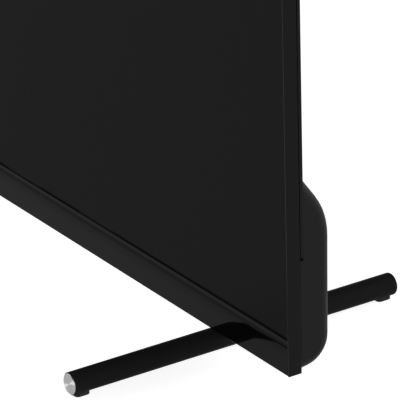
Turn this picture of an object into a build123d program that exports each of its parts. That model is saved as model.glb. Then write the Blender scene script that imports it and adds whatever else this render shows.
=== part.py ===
from build123d import *
import os

# Flat screen television on two round bar feet.
# X runs to the right as the viewer sees the set, Y to the back and Z up. The origin is on the table
# under the middle of the set. Pieces are placed by depth behind the set's front face and by height
# above its lowest edge.

# Driving dimensions of the set
body_width = 960.0
body_height = 570.0
frame_depth = 10.5
rim_depth = 2.9
frame_wall = 1.2
seam = 0.3
edge_round = 0.3
rear_edge_round = 0.7
overrun = 1.0

# Feet
foot_length = 263.0
foot_radius = 8.0
foot_wall = 2.0
foot_spacing = 769.6
foot_front_reach = 111.2
foot_gap = 2.0
pad_drop = 1.5

# Screen and the layers behind it
glass_inset = 0.3
glass_thickness = 1.6
glass_bottom = 27.95
flange_thickness = 2.5
flange_width = 8.0
film_thickness = 0.3
guide_thickness = 2.0
film_margin = 1.0
chassis_sheet = 0.8
hem_width = 10.0
end_screw_inset = 50.0
hem_thickness = 1.2

# Bottom bezel
bezel_height = 24.0
bezel_flat_height = 14.0
bezel_bend_height = 20.0
bezel_bend_depth = 0.25
bezel_top_depth = 2.3
bezel_top_lip = 0.6
bezel_wall = 1.8
bezel_leg_depth = 10.4
bezel_edge_radius = 0.5

# Light bar under the light guide
light_gap = 0.5
package_height = 0.9
package_width = 5.6
package_depth = 1.6
package_count = 48
light_bar_height = 1.2
light_bar_depth = 2.2
spreader_thickness = 1.5
spreader_rise = 11.0
light_bar_inset = 12.5

# Rear cover: its rear face stands bar_depth back at the bottom and cover_lean more at the shoulder
cover_wall = 2.4
cover_side_inset = 0.6
cover_edge_radius = 8.0
bar_depth = 35.4
bar_height = 81.0
bottom_rise = 3.6
bottom_radius = 21.0
cover_lean = 1.3
shoulder_height = 108.9
shoulder_radius = 50.0
dome_height = 140.9
housing_width = 480.0
housing_bottom = 60.0
housing_top = 350.0
housing_depth = 54.0
housing_corner_radius = 28.0
housing_draft = 6.0
housing_edge_radius = 5.0

# Places that follow from these sizes
face_y = foot_front_reach - foot_length / 2
set_bottom = pad_drop + 2 * foot_radius + foot_gap
half_width = body_width / 2
module_depth = frame_depth + rim_depth
glass_half = half_width - frame_wall - seam
glass_top = body_height - frame_wall - seam
glass_back = glass_inset + glass_thickness
flange_back = glass_back + flange_thickness
prism_back = flange_back + film_thickness
diffuser_back = prism_back + film_thickness
guide_back = diffuser_back + guide_thickness
reflector_back = guide_back + film_thickness
chassis_back = reflector_back + chassis_sheet
hem_back = chassis_back + hem_thickness
panel_front = module_depth - chassis_sheet
foot_x = foot_spacing / 2
foot_axis_height = -foot_gap - foot_radius
foot_front = -foot_front_reach
foot_rear = foot_front + foot_length


# Planes and simple solids


def side_plane(x):
    """A plane across the set at x, with depth as its first axis and height as its second."""
    return Plane(origin=(x, face_y, set_bottom), x_dir=(0, 1, 0), z_dir=(1, 0, 0))


def face_plane(depth):
    """A plane along the set at a depth, with x and height as its axes, facing the viewer."""
    return Plane(origin=(0, face_y + depth, set_bottom), x_dir=(1, 0, 0), z_dir=(0, -1, 0))


def level_plane(height):
    """A level plane at a height, with x and depth as its axes."""
    return Plane(origin=(0, face_y, set_bottom + height))


def block(x_span, depth_span, height_span, mode=Mode.ADD):
    """A rectangular block between two places along each axis."""
    spans = (x_span, depth_span, height_span)
    middle = [(span[0] + span[1]) / 2 for span in spans]
    size = [span[1] - span[0] for span in spans]
    with Locations((middle[0], face_y + middle[1], set_bottom + middle[2])):
        Box(*size, mode=mode)


def rod_back(radius, x, height, depth_span, mode=Mode.ADD):
    """A round rod that runs from front to back."""
    middle = (depth_span[0] + depth_span[1]) / 2
    with Locations((x, face_y + middle, set_bottom + height)):
        Cylinder(radius, depth_span[1] - depth_span[0], rotation=(90, 0, 0), mode=mode)


def rod_up(radius, x, depth, height_span, mode=Mode.ADD):
    """A round rod that stands upright."""
    middle = (height_span[0] + height_span[1]) / 2
    with Locations((x, face_y + depth, set_bottom + middle)):
        Cylinder(radius, height_span[1] - height_span[0], mode=mode)


def rod_across(radius, depth, height, x_span, mode=Mode.ADD):
    """A round rod that runs along the set."""
    middle = (x_span[0] + x_span[1]) / 2
    with Locations((middle, face_y + depth, set_bottom + height)):
        Cylinder(radius, x_span[1] - x_span[0], rotation=(0, 90, 0), mode=mode)


def cone_back(front_radius, back_radius, x, height, depth_span, mode=Mode.ADD):
    """A round taper that runs from front to back."""
    middle = (depth_span[0] + depth_span[1]) / 2
    with Locations((x, face_y + middle, set_bottom + height)):
        Cone(front_radius, back_radius, depth_span[1] - depth_span[0], rotation=(-90, 0, 0), mode=mode)


def save(piece, label):
    """Names a finished piece and writes it."""
    piece.part.label = label
    export_step(piece.part, "parts/" + label + ".step")


os.makedirs("parts", exist_ok=True)

# Screen: the cell that shows the picture
glass_edge = 0.2
with BuildPart() as screen_glass:
    block((-glass_half, glass_half), (glass_inset, glass_back), (glass_bottom, glass_top))
    chamfer(screen_glass.faces().sort_by(Axis.Y)[0].edges(), glass_edge)
save(screen_glass, "screen_glass")

# Middle frame: the black plastic ring that carries the cell and holds the films
groove_wall_depth = 3.2
frame_skirt_height = 21.0
frame_rim_wall = 1.2
frame_rim_depth = 9.0
ribbon_width = 44.0
ribbon_thickness = 0.2
ribbon_bond = 3.4
ribbon_count = 6
ribbon_pitch = 96.0
ribbon_clearance = 0.1
ribbon_places = [ribbon_pitch * (i - (ribbon_count - 1) / 2) for i in range(ribbon_count)]
ribbon_top = glass_bottom + ribbon_bond
with BuildPart() as middle_frame:
    block((-glass_half, glass_half), (glass_back, frame_rim_depth), (frame_skirt_height, glass_top))
    block(
        (-glass_half + frame_rim_wall, glass_half - frame_rim_wall),
        (flange_back, frame_rim_depth + overrun),
        (frame_skirt_height - overrun, glass_top - frame_rim_wall),
        mode=Mode.SUBTRACT,
    )
    block(
        (-glass_half + flange_width, glass_half - flange_width),
        (glass_back - overrun, flange_back + overrun),
        (glass_bottom + flange_width, glass_top - flange_width),
        mode=Mode.SUBTRACT,
    )
    block(
        (-glass_half - overrun, glass_half + overrun),
        (glass_back - overrun, groove_wall_depth),
        (frame_skirt_height - overrun, glass_bottom),
        mode=Mode.SUBTRACT,
    )
    for x in ribbon_places:
        block(
            (x - ribbon_width / 2 - ribbon_clearance, x + ribbon_width / 2 + ribbon_clearance),
            (glass_back - overrun, glass_back + ribbon_thickness + ribbon_clearance),
            (glass_bottom - overrun, ribbon_top + ribbon_clearance),
            mode=Mode.SUBTRACT,
        )
save(middle_frame, "middle_frame")

# Films, light guide and reflector, from the front to the back
guide_half = glass_half - frame_rim_wall - film_margin
guide_top = glass_top - frame_rim_wall - film_margin
light_bar_top = frame_skirt_height - light_gap
package_top = light_bar_top
guide_bottom = package_top + light_gap
for label, film_front, film_back in (
    ("prism_film", flange_back, prism_back),
    ("diffuser_film", prism_back, diffuser_back),
    ("light_guide_plate", diffuser_back, guide_back),
    ("reflector_film", guide_back, reflector_back),
):
    with BuildPart() as layer:
        block((-guide_half, guide_half), (film_front, film_back), (guide_bottom, guide_top))
    save(layer, label)

# Light bar, its packages and the aluminium strip that carries them
light_bar_half = glass_half - light_bar_inset
light_bar_front = diffuser_back + (guide_thickness - light_bar_depth) / 2
light_bar_seat = light_bar_top - package_height - light_bar_height
with BuildPart() as led_bar:
    block(
        (-light_bar_half, light_bar_half),
        (light_bar_front, light_bar_front + light_bar_depth),
        (light_bar_seat, light_bar_seat + light_bar_height),
    )
save(led_bar, "led_bar")

package_pitch = (2 * light_bar_half - package_width) / package_count
package_front = diffuser_back + (guide_thickness - package_depth) / 2
with BuildPart() as led_packages:
    for i in range(package_count):
        x = package_pitch * (i - (package_count - 1) / 2)
        block(
            (x - package_width / 2, x + package_width / 2),
            (package_front, package_front + package_depth),
            (light_bar_seat + light_bar_height, package_top),
        )
save(led_packages, "led_packages")

spreader_top = light_bar_seat
spreader_bottom = spreader_top - spreader_thickness
spreader_front = light_bar_front - seam
with BuildPart() as led_heat_spreader:
    block((-light_bar_half, light_bar_half), (spreader_front, hem_back), (spreader_bottom, spreader_top))
    block(
        (-light_bar_half, light_bar_half),
        (chassis_back, hem_back),
        (spreader_top, spreader_top + spreader_rise),
    )
save(led_heat_spreader, "led_heat_spreader")

# Steel chassis behind the light guide, with a folded hem and raised ribs
chassis_half = glass_half - frame_rim_wall - seam
chassis_top = glass_top - frame_rim_wall - seam
chassis_bottom = spreader_top
hem_bottom = spreader_top + spreader_rise + seam
rib_width = 24.0
outer_rib_x = 340.0
outer_rib_bottom = 152.0
inner_rib_x = 150.0
inner_rib_bottom = 386.0
rib_top_inset = 31.0
rib_top = chassis_top - rib_top_inset
cross_rib_height = 358.0

# Screws along the frames
return_inner = chassis_half - hem_width
frame_screw_radius = 1.1
frame_screw_head_radius = 2.3
frame_screw_head_height = 1.0
screw_clearance = 0.15
frame_screw_x = (return_inner + chassis_half) / 2
frame_screw_count = 5
frame_screw_low = 60.0
frame_screw_high = chassis_top - end_screw_inset
frame_screw_step = (frame_screw_high - frame_screw_low) / (frame_screw_count - 1)
side_screw_places = [frame_screw_low + frame_screw_step * i for i in range(frame_screw_count)]
top_screw_count = 7
top_screw_step = 2 * (return_inner - end_screw_inset) / (top_screw_count - 1)
top_screw_places = [top_screw_step * (i - (top_screw_count - 1) / 2) for i in range(top_screw_count)]
top_screw_height = chassis_top - hem_width / 2
frame_screw_places = [(side * frame_screw_x, height) for side in (-1, 1) for height in side_screw_places]
frame_screw_places += [(x, top_screw_height) for x in top_screw_places]


def raised_rib(x_span, height_span):
    """A hollow rib pressed to the back out of the chassis sheet."""
    block(x_span, (chassis_back, panel_front), height_span)
    block(
        (x_span[0] + chassis_sheet, x_span[1] - chassis_sheet),
        (chassis_back, panel_front - chassis_sheet),
        (height_span[0] + chassis_sheet, height_span[1] - chassis_sheet),
        mode=Mode.SUBTRACT,
    )


with BuildPart() as back_chassis:
    block((-chassis_half, chassis_half), (reflector_back, chassis_back), (chassis_bottom, chassis_top))
    for side in (-1, 1):
        ends = sorted((side * (chassis_half - hem_width), side * chassis_half))
        block(ends, (chassis_back, hem_back), (hem_bottom, chassis_top))
    block((-chassis_half, chassis_half), (chassis_back, hem_back), (chassis_top - hem_width, chassis_top))
    for side in (-1, 1):
        for x, low in ((side * outer_rib_x, outer_rib_bottom), (side * inner_rib_x, inner_rib_bottom)):
            raised_rib((x - rib_width / 2, x + rib_width / 2), (low, rib_top))
    for x, height in frame_screw_places:
        rod_back(frame_screw_radius, x, height, (chassis_back, hem_back + overrun), mode=Mode.SUBTRACT)
    cross_rib_half = outer_rib_x - rib_width
    raised_rib((-cross_rib_half, cross_rib_half), (cross_rib_height, cross_rib_height + rib_width))
save(back_chassis, "back_chassis")

# Side and top frames: thin walls with a return that is screwed to the chassis hem
return_bottom = hem_bottom
return_back = frame_depth
wall_inner = half_width - frame_wall
for label, side in (("side_frame_left", -1), ("side_frame_right", 1)):
    with BuildPart() as side_frame:
        block(sorted((side * wall_inner, side * half_width)), (0, frame_depth), (0, body_height))
        block(
            sorted((side * return_inner, side * wall_inner)),
            (hem_back, return_back),
            (return_bottom, body_height - frame_wall),
        )
        outer = side_frame.faces().sort_by(Axis.X)[-1 if side > 0 else 0]
        front_edge, rear_edge = outer.edges().filter_by(Axis.Z).sort_by(Axis.Y)
        fillet(rear_edge, rear_edge_round)
        fillet(front_edge, edge_round)
        for height in side_screw_places:
            rod_back(
                frame_screw_radius + screw_clearance,
                side * frame_screw_x,
                height,
                (hem_back - overrun, return_back + overrun),
                mode=Mode.SUBTRACT,
            )
    save(side_frame, label)

with BuildPart() as top_frame:
    block((-wall_inner, wall_inner), (0, frame_depth), (body_height - frame_wall, body_height))
    block(
        (-return_inner, return_inner),
        (hem_back, return_back),
        (chassis_top - hem_width, body_height - frame_wall),
    )
    fillet(top_frame.faces().sort_by(Axis.Z)[-1].edges().filter_by(Axis.X), edge_round)
    for x in top_screw_places:
        rod_back(
            frame_screw_radius + screw_clearance,
            x,
            top_screw_height,
            (hem_back - overrun, return_back + overrun),
            mode=Mode.SUBTRACT,
        )
save(top_frame, "top_frame")

# Corner brackets tie the side frames to the top frame
bracket_leg = 34.0
bracket_width = 9.0
bracket_sheet = 0.6
bracket_screw_inset = 5.0
bracket_back = return_back + bracket_sheet
bracket_screw_places = [
    place
    for side in (-1, 1)
    for place in (
        (side * (chassis_half - bracket_width / 2), chassis_top - bracket_leg + bracket_screw_inset),
        (side * (chassis_half - bracket_leg + bracket_screw_inset), chassis_top - bracket_width / 2),
    )
]
with BuildPart() as corner_brackets:
    for side in (-1, 1):
        outer_x = side * chassis_half
        block(
            sorted((outer_x, outer_x - side * bracket_width)),
            (return_back, bracket_back),
            (chassis_top - bracket_leg, chassis_top),
        )
        block(
            sorted((outer_x, outer_x - side * bracket_leg)),
            (return_back, bracket_back),
            (chassis_top - bracket_width, chassis_top),
        )
    for x, height in bracket_screw_places:
        rod_back(
            frame_screw_radius + screw_clearance,
            x,
            height,
            (return_back - overrun, bracket_back + overrun),
            mode=Mode.SUBTRACT,
        )
save(corner_brackets, "corner_brackets")

# Bottom bezel: a moulded channel with a flat glossy face that rolls back towards its top, gently at first
bezel_half = wall_inner - seam
bezel_lip_back = bezel_top_depth + bezel_top_lip
bezel_lip_root = bezel_bend_height + bezel_wall
bezel_leg_height = 2.0
post_count = 6
post_width = 10.0
post_front = 6.0
post_pitch = 178.0
post_places = [post_pitch * (i - (post_count - 1) / 2) for i in range(post_count)]
post_screw_radius = 1.3
post_screw_head_radius = 2.6
post_screw_head_height = 1.2
post_depth = (post_front + hem_back) / 2
receiver_half = 12.0
receiver_front = bezel_wall + seam
receiver_back = 8.0
with BuildPart() as bottom_bezel:
    with BuildSketch(side_plane(-bezel_half)):
        with BuildLine():
            Line((bezel_leg_depth, 0), (0, 0))
            Line((0, 0), (0, bezel_flat_height))
            bend_top = (bezel_bend_depth, bezel_bend_height)
            bend = TangentArc((0, bezel_flat_height), bend_top, tangent=(0, 1))
            TangentArc(bend @ 1, (bezel_top_depth, bezel_height), tangent=bend % 1)
            Polyline(
                (bezel_top_depth, bezel_height),
                (bezel_lip_back, bezel_height),
                (bezel_lip_back, bezel_lip_root),
                (bezel_wall, bezel_bend_height),
                (bezel_wall, bezel_leg_height),
                (bezel_leg_depth, bezel_leg_height),
                (bezel_leg_depth, 0),
            )
        make_face()
    extrude(amount=2 * bezel_half)
    front_low = bottom_bezel.edges().filter_by(Axis.X).sort_by(Axis.Z)
    fillet(front_low.group_by(Axis.Z)[0].sort_by(Axis.Y)[0], bezel_edge_radius)
    for x in post_places:
        block(
            (x - post_width / 2, x + post_width / 2),
            (post_front, hem_back),
            (bezel_leg_height, spreader_bottom),
        )
        rod_up(
            post_screw_radius + screw_clearance,
            x,
            post_depth,
            (-overrun, spreader_bottom + overrun),
            Mode.SUBTRACT,
        )
        rod_up(
            post_screw_head_radius + screw_clearance,
            x,
            post_depth,
            (-overrun, post_screw_head_height),
            Mode.SUBTRACT,
        )
    block(
        (-receiver_half - seam, receiver_half + seam),
        (receiver_front - seam, receiver_back + seam),
        (-overrun, bezel_leg_height + overrun),
        mode=Mode.SUBTRACT,
    )
save(bottom_bezel, "bottom_bezel")

# Screws of the frames, the brackets and the bezel
with BuildPart() as frame_screws:
    for x, height in frame_screw_places:
        rod_back(frame_screw_radius, x, height, (chassis_back, return_back))
        rod_back(frame_screw_head_radius, x, height, (return_back, return_back + frame_screw_head_height))
    for x, height in bracket_screw_places:
        rod_back(frame_screw_radius, x, height, (return_back, bracket_back))
        rod_back(frame_screw_head_radius, x, height, (bracket_back, bracket_back + frame_screw_head_height))
    for x in post_places:
        rod_up(post_screw_head_radius, x, post_depth, (0, post_screw_head_height))
        rod_up(post_screw_radius, x, post_depth, (post_screw_head_height, spreader_bottom))
save(frame_screws, "frame_screws")

# Remote control receiver in the underside of the bezel
receiver_lens_top = 6.0
receiver_board_half = 17.0
receiver_board_thickness = 1.0
receiver_lens_lip = 2.0
with BuildPart() as receiver_window:
    block((-receiver_half, receiver_half), (receiver_front, receiver_back), (0, receiver_lens_top))
    fillet(receiver_window.faces().sort_by(Axis.Z)[0].edges().filter_by(Axis.Y), receiver_lens_lip)
save(receiver_window, "receiver_window")

with BuildPart() as receiver_board:
    block(
        (-receiver_board_half, receiver_board_half),
        (receiver_front, receiver_back),
        (receiver_lens_top, receiver_lens_top + receiver_board_thickness),
    )
save(receiver_board, "receiver_board")

# Source board in the bezel, and the ribbons that join it to the cell
source_board_half = 300.0
source_board_bottom = receiver_lens_top + receiver_board_thickness + seam
source_board_top = 16.5
source_board_thickness = 1.0
source_front = groove_wall_depth
source_back = source_front + source_board_thickness
with BuildPart() as source_board:
    block(
        (-source_board_half, source_board_half),
        (source_front, source_back),
        (source_board_bottom, source_board_top),
    )
save(source_board, "source_board")

ribbon_low = source_board_bottom + ribbon_bond
ribbon_bend_height = glass_bottom - 2 * ribbon_thickness
with BuildPart() as panel_ribbons:
    for x in ribbon_places:
        span = (x - ribbon_width / 2, x + ribbon_width / 2)
        block(span, (source_front - ribbon_thickness, source_front), (ribbon_low, ribbon_bend_height))
        block(
            span,
            (glass_back, source_front),
            (ribbon_bend_height - ribbon_thickness, ribbon_bend_height),
        )
        block(span, (glass_back, glass_back + ribbon_thickness), (ribbon_bend_height, ribbon_top))
save(panel_ribbons, "panel_ribbons")

# Rear panel: a thin sheet whose folded rim shows behind the side frames
panel_gap = 2.0
panel_bottom = bar_height + panel_gap
panel_opening_half = housing_width / 2 - 2 * cover_wall - frame_wall
panel_opening_top = housing_top - 2 * cover_wall - frame_wall
with BuildPart() as rear_panel:
    block((-half_width, half_width), (frame_depth + seam, module_depth), (panel_bottom, body_height))
    block(
        (-half_width + chassis_sheet, half_width - chassis_sheet),
        (frame_depth, panel_front),
        (panel_bottom - overrun, body_height - chassis_sheet),
        mode=Mode.SUBTRACT,
    )
    rim_edges = rear_panel.faces().sort_by(Axis.Y)[-1].edges()
    fillet(rim_edges.filter_by(Axis.Z) + rim_edges.sort_by(Axis.Z)[-1:], edge_round)
    block(
        (-panel_opening_half, panel_opening_half),
        (frame_depth, module_depth + overrun),
        (panel_bottom - overrun, panel_opening_top),
        mode=Mode.SUBTRACT,
    )
save(rear_panel, "rear_panel")

# Rear cover: a full width bulge with a sloping shoulder, and a deeper housing in the middle
bar_front = frame_depth + seam
bay_floor = 15.4
bay_wall_x = 176.0
bay_bottom = 146.0
bay_top = 318.0
inlet_bay_wall_x = 204.0
inlet_bay_bottom = 150.0
inlet_bay_top = 206.0


def bulge_form(inset, reach):
    """The full width bulge, drawn in by inset, with its open front carried forward by reach."""
    half = half_width - cover_side_inset - inset
    shoulder_depth = bar_depth + cover_lean
    bottom_slope = bottom_rise / (bar_depth - bar_front)
    top_slope = (dome_height - shoulder_height) / (shoulder_depth - module_depth)
    with BuildPart() as form:
        with BuildSketch(side_plane(-half)) as profile:
            with BuildLine():
                Polyline(
                    (bar_front - reach, -bottom_slope * reach),
                    (bar_depth, bottom_rise),
                    (shoulder_depth, shoulder_height),
                    (module_depth - reach, dome_height + top_slope * reach),
                    (module_depth - reach, bar_height),
                    (bar_front - reach, bar_height),
                    close=True,
                )
            make_face()
            fillet(profile.vertices().sort_by(Axis.X)[-1], shoulder_radius)
            fillet(profile.vertices().sort_by(Axis.Y)[1], bottom_radius)
            if inset:
                offset(amount=-inset, mode=Mode.REPLACE)
        extrude(amount=2 * half)
        front_y = face_y + module_depth + seam
        end_edges = [edge for face in form.faces().filter_by(Axis.X) for edge in face.edges()]
        fillet([edge for edge in end_edges if edge.center().Y > front_y], cover_edge_radius - inset)
    return form.part


def housing_form(inset):
    """The deeper middle housing with drafted sides."""
    half = housing_width / 2 - inset
    low = housing_bottom + inset
    high = housing_top - inset
    with BuildPart() as form:
        with BuildSketch(face_plane(module_depth)):
            with Locations((0, (low + high) / 2)):
                RectangleRounded(2 * half, high - low, housing_corner_radius - inset)
        extrude(amount=-(housing_depth - inset - module_depth), taper=housing_draft)
        fillet(form.faces().sort_by(Axis.Y)[-1].edges(), housing_edge_radius - inset)
        block(
            (bay_wall_x - inset, half_width),
            (bay_floor - inset, housing_depth + overrun),
            (bay_bottom - inset, bay_top + inset),
            mode=Mode.SUBTRACT,
        )
        block(
            (-half_width, -inlet_bay_wall_x + inset),
            (bay_floor - inset, housing_depth + overrun),
            (inlet_bay_bottom - inset, inlet_bay_top + inset),
            mode=Mode.SUBTRACT,
        )
    return form.part


# Places inside the rear cover
board_front = 16.0
board_thickness = 1.6
board_back = board_front + board_thickness
bay_inner = bay_wall_x - cover_wall
inlet_bay_inner = inlet_bay_wall_x - cover_wall
fit_gap = 0.3

# Wall mount nuts: threaded posts from the chassis out through the housing
mount_spacing = 200.0
mount_height = 220.0
mount_post_radius = 6.0
mount_thread_radius = 3.0
mount_thread_depth = 20.0
mount_base_radius = 9.0
mount_base_thickness = 1.6
mount_inset = 0.5
mount_places = [
    (side * mount_spacing / 2, mount_height + level * mount_spacing / 2)
    for side in (-1, 1)
    for level in (-1, 1)
]
with BuildPart() as wall_mount_nuts:
    for x, height in mount_places:
        rod_back(mount_base_radius, x, height, (chassis_back, chassis_back + mount_base_thickness))
        rod_back(mount_post_radius, x, height, (chassis_back, housing_depth - mount_inset))
        rod_back(
            mount_thread_radius,
            x,
            height,
            (housing_depth - mount_inset - mount_thread_depth, housing_depth),
            mode=Mode.SUBTRACT,
        )
save(wall_mount_nuts, "wall_mount_nuts")

# Boards on posts behind the chassis
main_board_left = 24.0
main_board_right = bay_inner - fit_gap
main_board_bottom = 140.0
main_board_top = 308.0
power_board_right = -24.0
power_board_left = -inlet_bay_inner + fit_gap
post_radius = 3.0
board_edge = 6.0
socket_side_edge = 18.0
board_screw_radius = 1.5
board_screw_head_radius = 3.0
board_screw_head_height = 1.8
main_corners = [
    (x, height)
    for x in (main_board_left + board_edge, main_board_right - socket_side_edge)
    for height in (main_board_bottom + board_edge, main_board_top - board_edge)
]
power_corners = [
    (x, height)
    for x in (power_board_left + socket_side_edge, power_board_right - board_edge)
    for height in (main_board_bottom + board_edge, main_board_top - board_edge)
]
board_corners = main_corners + power_corners


def circuit_board(left, right):
    """A board that spans two x places, with its screw holes."""
    block((left, right), (board_front, board_back), (main_board_bottom, main_board_top))
    for x, height in board_corners:
        if left < x < right:
            rod_back(
                board_screw_radius + screw_clearance,
                x,
                height,
                (board_front - overrun, board_back + overrun),
                mode=Mode.SUBTRACT,
            )


chip_size = 27.0
chip_thickness = 1.6
chip_x = 92.0
chip_height = 236.0
with BuildPart() as main_board:
    circuit_board(main_board_left, main_board_right)
    block(
        (chip_x - chip_size / 2, chip_x + chip_size / 2),
        (board_back, board_back + chip_thickness),
        (chip_height - chip_size / 2, chip_height + chip_size / 2),
    )
save(main_board, "main_board")

with BuildPart() as power_board:
    circuit_board(power_board_left, power_board_right)
save(power_board, "power_board")

board_screw_bite = 4.0
with BuildPart() as board_posts:
    for x, height in board_corners:
        rod_back(post_radius, x, height, (chassis_back, board_front))
        rod_back(
            board_screw_radius + screw_clearance,
            x,
            height,
            (board_front - board_screw_bite, board_front + overrun),
            mode=Mode.SUBTRACT,
        )
save(board_posts, "board_posts")

with BuildPart() as board_screws:
    for x, height in board_corners:
        rod_back(board_screw_radius, x, height, (board_front - board_screw_bite, board_back))
        rod_back(board_screw_head_radius, x, height, (board_back, board_back + board_screw_head_height))
save(board_screws, "board_screws")

# Parts on the boards
sink_size = 46.0
sink_base = 2.4
sink_fin_height = 12.0
sink_fin_thickness = 1.4
sink_fin_count = 8
sink_front = board_back + chip_thickness
with BuildPart() as processor_heat_sink:
    height_span = (chip_height - sink_size / 2, chip_height + sink_size / 2)
    block(
        (chip_x - sink_size / 2, chip_x + sink_size / 2),
        (sink_front, sink_front + sink_base),
        height_span,
    )
    fin_pitch = (sink_size - sink_fin_thickness) / (sink_fin_count - 1)
    for i in range(sink_fin_count):
        x = chip_x + fin_pitch * (i - (sink_fin_count - 1) / 2)
        block(
            (x - sink_fin_thickness / 2, x + sink_fin_thickness / 2),
            (sink_front + sink_base, sink_front + sink_base + sink_fin_height),
            height_span,
        )
save(processor_heat_sink, "processor_heat_sink")

wireless_size = 20.0
wireless_foot = 1.4
wireless_thickness = 1.0
wireless_strip = 5.0
wireless_inset = 24.0
wireless_drop = 12.0
wireless_left = main_board_left + wireless_inset
wireless_top = main_board_top - wireless_drop
with BuildPart() as wireless_module:
    block(
        (wireless_left, wireless_left + wireless_size),
        (board_back, board_back + wireless_foot),
        (wireless_top - wireless_strip, wireless_top),
    )
    block(
        (wireless_left, wireless_left + wireless_size),
        (board_back + wireless_foot, board_back + wireless_foot + wireless_thickness),
        (wireless_top - wireless_size, wireless_top),
    )
save(wireless_module, "wireless_module")

transformer_x = -126.0
transformer_height = 232.0
transformer_width = 34.0
transformer_tall = 30.0
transformer_depth = 21.0
core_tall = 15.0
winding_inset = 5.0
with BuildPart() as power_transformer:
    x_span = (transformer_x - transformer_width / 2, transformer_x + transformer_width / 2)
    core_front = board_back + winding_inset / 2
    block(
        x_span,
        (core_front, core_front + transformer_depth),
        (transformer_height - core_tall / 2, transformer_height + core_tall / 2),
    )
    block(
        (x_span[0] + winding_inset, x_span[1] - winding_inset),
        (board_back, core_front + transformer_depth - winding_inset),
        (transformer_height - transformer_tall / 2, transformer_height + transformer_tall / 2),
    )
save(power_transformer, "power_transformer")

capacitor_radius = 9.0
capacitor_length = 30.0
capacitor_x = -60.0
capacitor_low = 196.0
capacitor_pitch = 21.0
capacitor_count = 3
capacitor_round = 1.2
with BuildPart() as power_capacitors:
    for i in range(capacitor_count):
        height = capacitor_low + capacitor_pitch * i
        rod_back(capacitor_radius, capacitor_x, height, (board_back, board_back + capacitor_length))
    fillet(power_capacitors.faces().group_by(Axis.Y)[-1].edges(), capacitor_round)
save(power_capacitors, "power_capacitors")

link_height = 276.0
link_plug = 8.0
link_plug_depth = 6.0
link_cable_width = 12.0
link_cable_thickness = 1.2
with BuildPart() as board_link_cable:
    for edge, side in ((power_board_right, -1), (main_board_left, 1)):
        block(
            sorted((edge + side * board_edge, edge + side * (board_edge + link_plug))),
            (board_back, board_back + link_plug_depth),
            (link_height - link_cable_width, link_height + link_cable_width),
        )
    block(
        (power_board_right - board_edge, main_board_left + board_edge),
        (board_back + link_plug_depth / 2, board_back + link_plug_depth / 2 + link_cable_thickness),
        (link_height - link_cable_width / 2, link_height + link_cable_width / 2),
    )
save(board_link_cable, "board_link_cable")

# Flat cable from the main board down to the source board
flat_cable_x = 56.0
flat_cable_width = 30.0
flat_cable_thickness = 0.4
flat_cable_hold = 10.0
flat_cable_level = 13.6
flat_span = (flat_cable_x - flat_cable_width / 2, flat_cable_x + flat_cable_width / 2)
with BuildPart() as display_cable:
    block(
        flat_span,
        (board_back, board_back + flat_cable_thickness),
        (flat_cable_level, main_board_bottom + flat_cable_hold),
    )
    block(
        flat_span,
        (source_back, board_back + flat_cable_thickness),
        (flat_cable_level - flat_cable_thickness, flat_cable_level),
    )
    block(
        flat_span,
        (source_back, source_back + flat_cable_thickness),
        (source_board_bottom + ribbon_bond / 2, flat_cable_level),
    )
save(display_cable, "display_cable")

# Sockets along the edge of the main board, with their mouths in the wall of the bay
socket_face = bay_wall_x - fit_gap
socket_wall = 0.6
socket_tongue = 1.0
bay_length = bay_top - bay_bottom
# share of the bay's length at which each socket stands
tuner_share = 0.09
headphone_share = 0.2
optical_share = 0.3
lan_share = 0.42
hdmi_shares = (0.55, 0.67, 0.79)
usb_shares = (0.89, 0.965)

hdmi_width = 15.0
hdmi_tall = 5.6
hdmi_long = 12.0
hdmi_tongue_width = 10.0
usb_width = 9.6
usb_tall = 13.2
usb_long = 14.0
usb_tongue_inset = 1.65
lan_width = 16.0
lan_tall = 13.4
lan_long = 18.0
lan_mouth_width = 11.8
lan_mouth_tall = 8.2
lan_mouth_long = 12.0
optical_width = 10.0
optical_tall = 10.0
optical_long = 13.0
optical_mouth = 6.0
optical_mouth_long = 9.0
headphone_width = 8.0
headphone_tall = 7.6
headphone_long = 14.0
headphone_radius = 1.8
headphone_bore_long = 12.0
tuner_radius = 4.9
tuner_base = 14.0
tuner_base_long = 12.0
tuner_thread_long = 11.0
tuner_mouth_radius = 4.0
tuner_mouth_long = 8.0
tuner_pin_radius = 0.6


def bay_height(share):
    """The height of a socket in the bay."""
    return bay_bottom + bay_length * share


def socket_shell(width, tall, length, share, mode=Mode.ADD, wall=0.0, grow=0.0):
    """The block of a socket on the board's edge, drawn in by a wall or grown by a gap."""
    height = bay_height(share)
    start = socket_face - length if mode == Mode.ADD else socket_face - length + wall
    block(
        (start, socket_face + (0 if mode == Mode.ADD else overrun)),
        (board_back + wall - grow, board_back + tall - wall + grow),
        (height - width / 2 + wall - grow, height + width / 2 - wall + grow),
        mode=mode,
    )


with BuildPart() as hdmi_sockets:
    for share in hdmi_shares:
        socket_shell(hdmi_width, hdmi_tall, hdmi_long, share)
        socket_shell(hdmi_width, hdmi_tall, hdmi_long, share, Mode.SUBTRACT, socket_wall)
        tongue_middle = board_back + hdmi_tall / 2
        block(
            (socket_face - hdmi_long, socket_face - 2 * socket_tongue),
            (tongue_middle - socket_tongue / 2, tongue_middle + socket_tongue / 2),
            (bay_height(share) - hdmi_tongue_width / 2, bay_height(share) + hdmi_tongue_width / 2),
        )
save(hdmi_sockets, "hdmi_sockets")

with BuildPart() as usb_sockets:
    for share in usb_shares:
        socket_shell(usb_width, usb_tall, usb_long, share)
        socket_shell(usb_width, usb_tall, usb_long, share, Mode.SUBTRACT, socket_wall)
        block(
            (socket_face - usb_long, socket_face - 2 * socket_tongue),
            (board_back + usb_tongue_inset, board_back + usb_tall - usb_tongue_inset),
            (bay_height(share), bay_height(share) + 2 * socket_tongue),
        )
save(usb_sockets, "usb_sockets")

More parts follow.
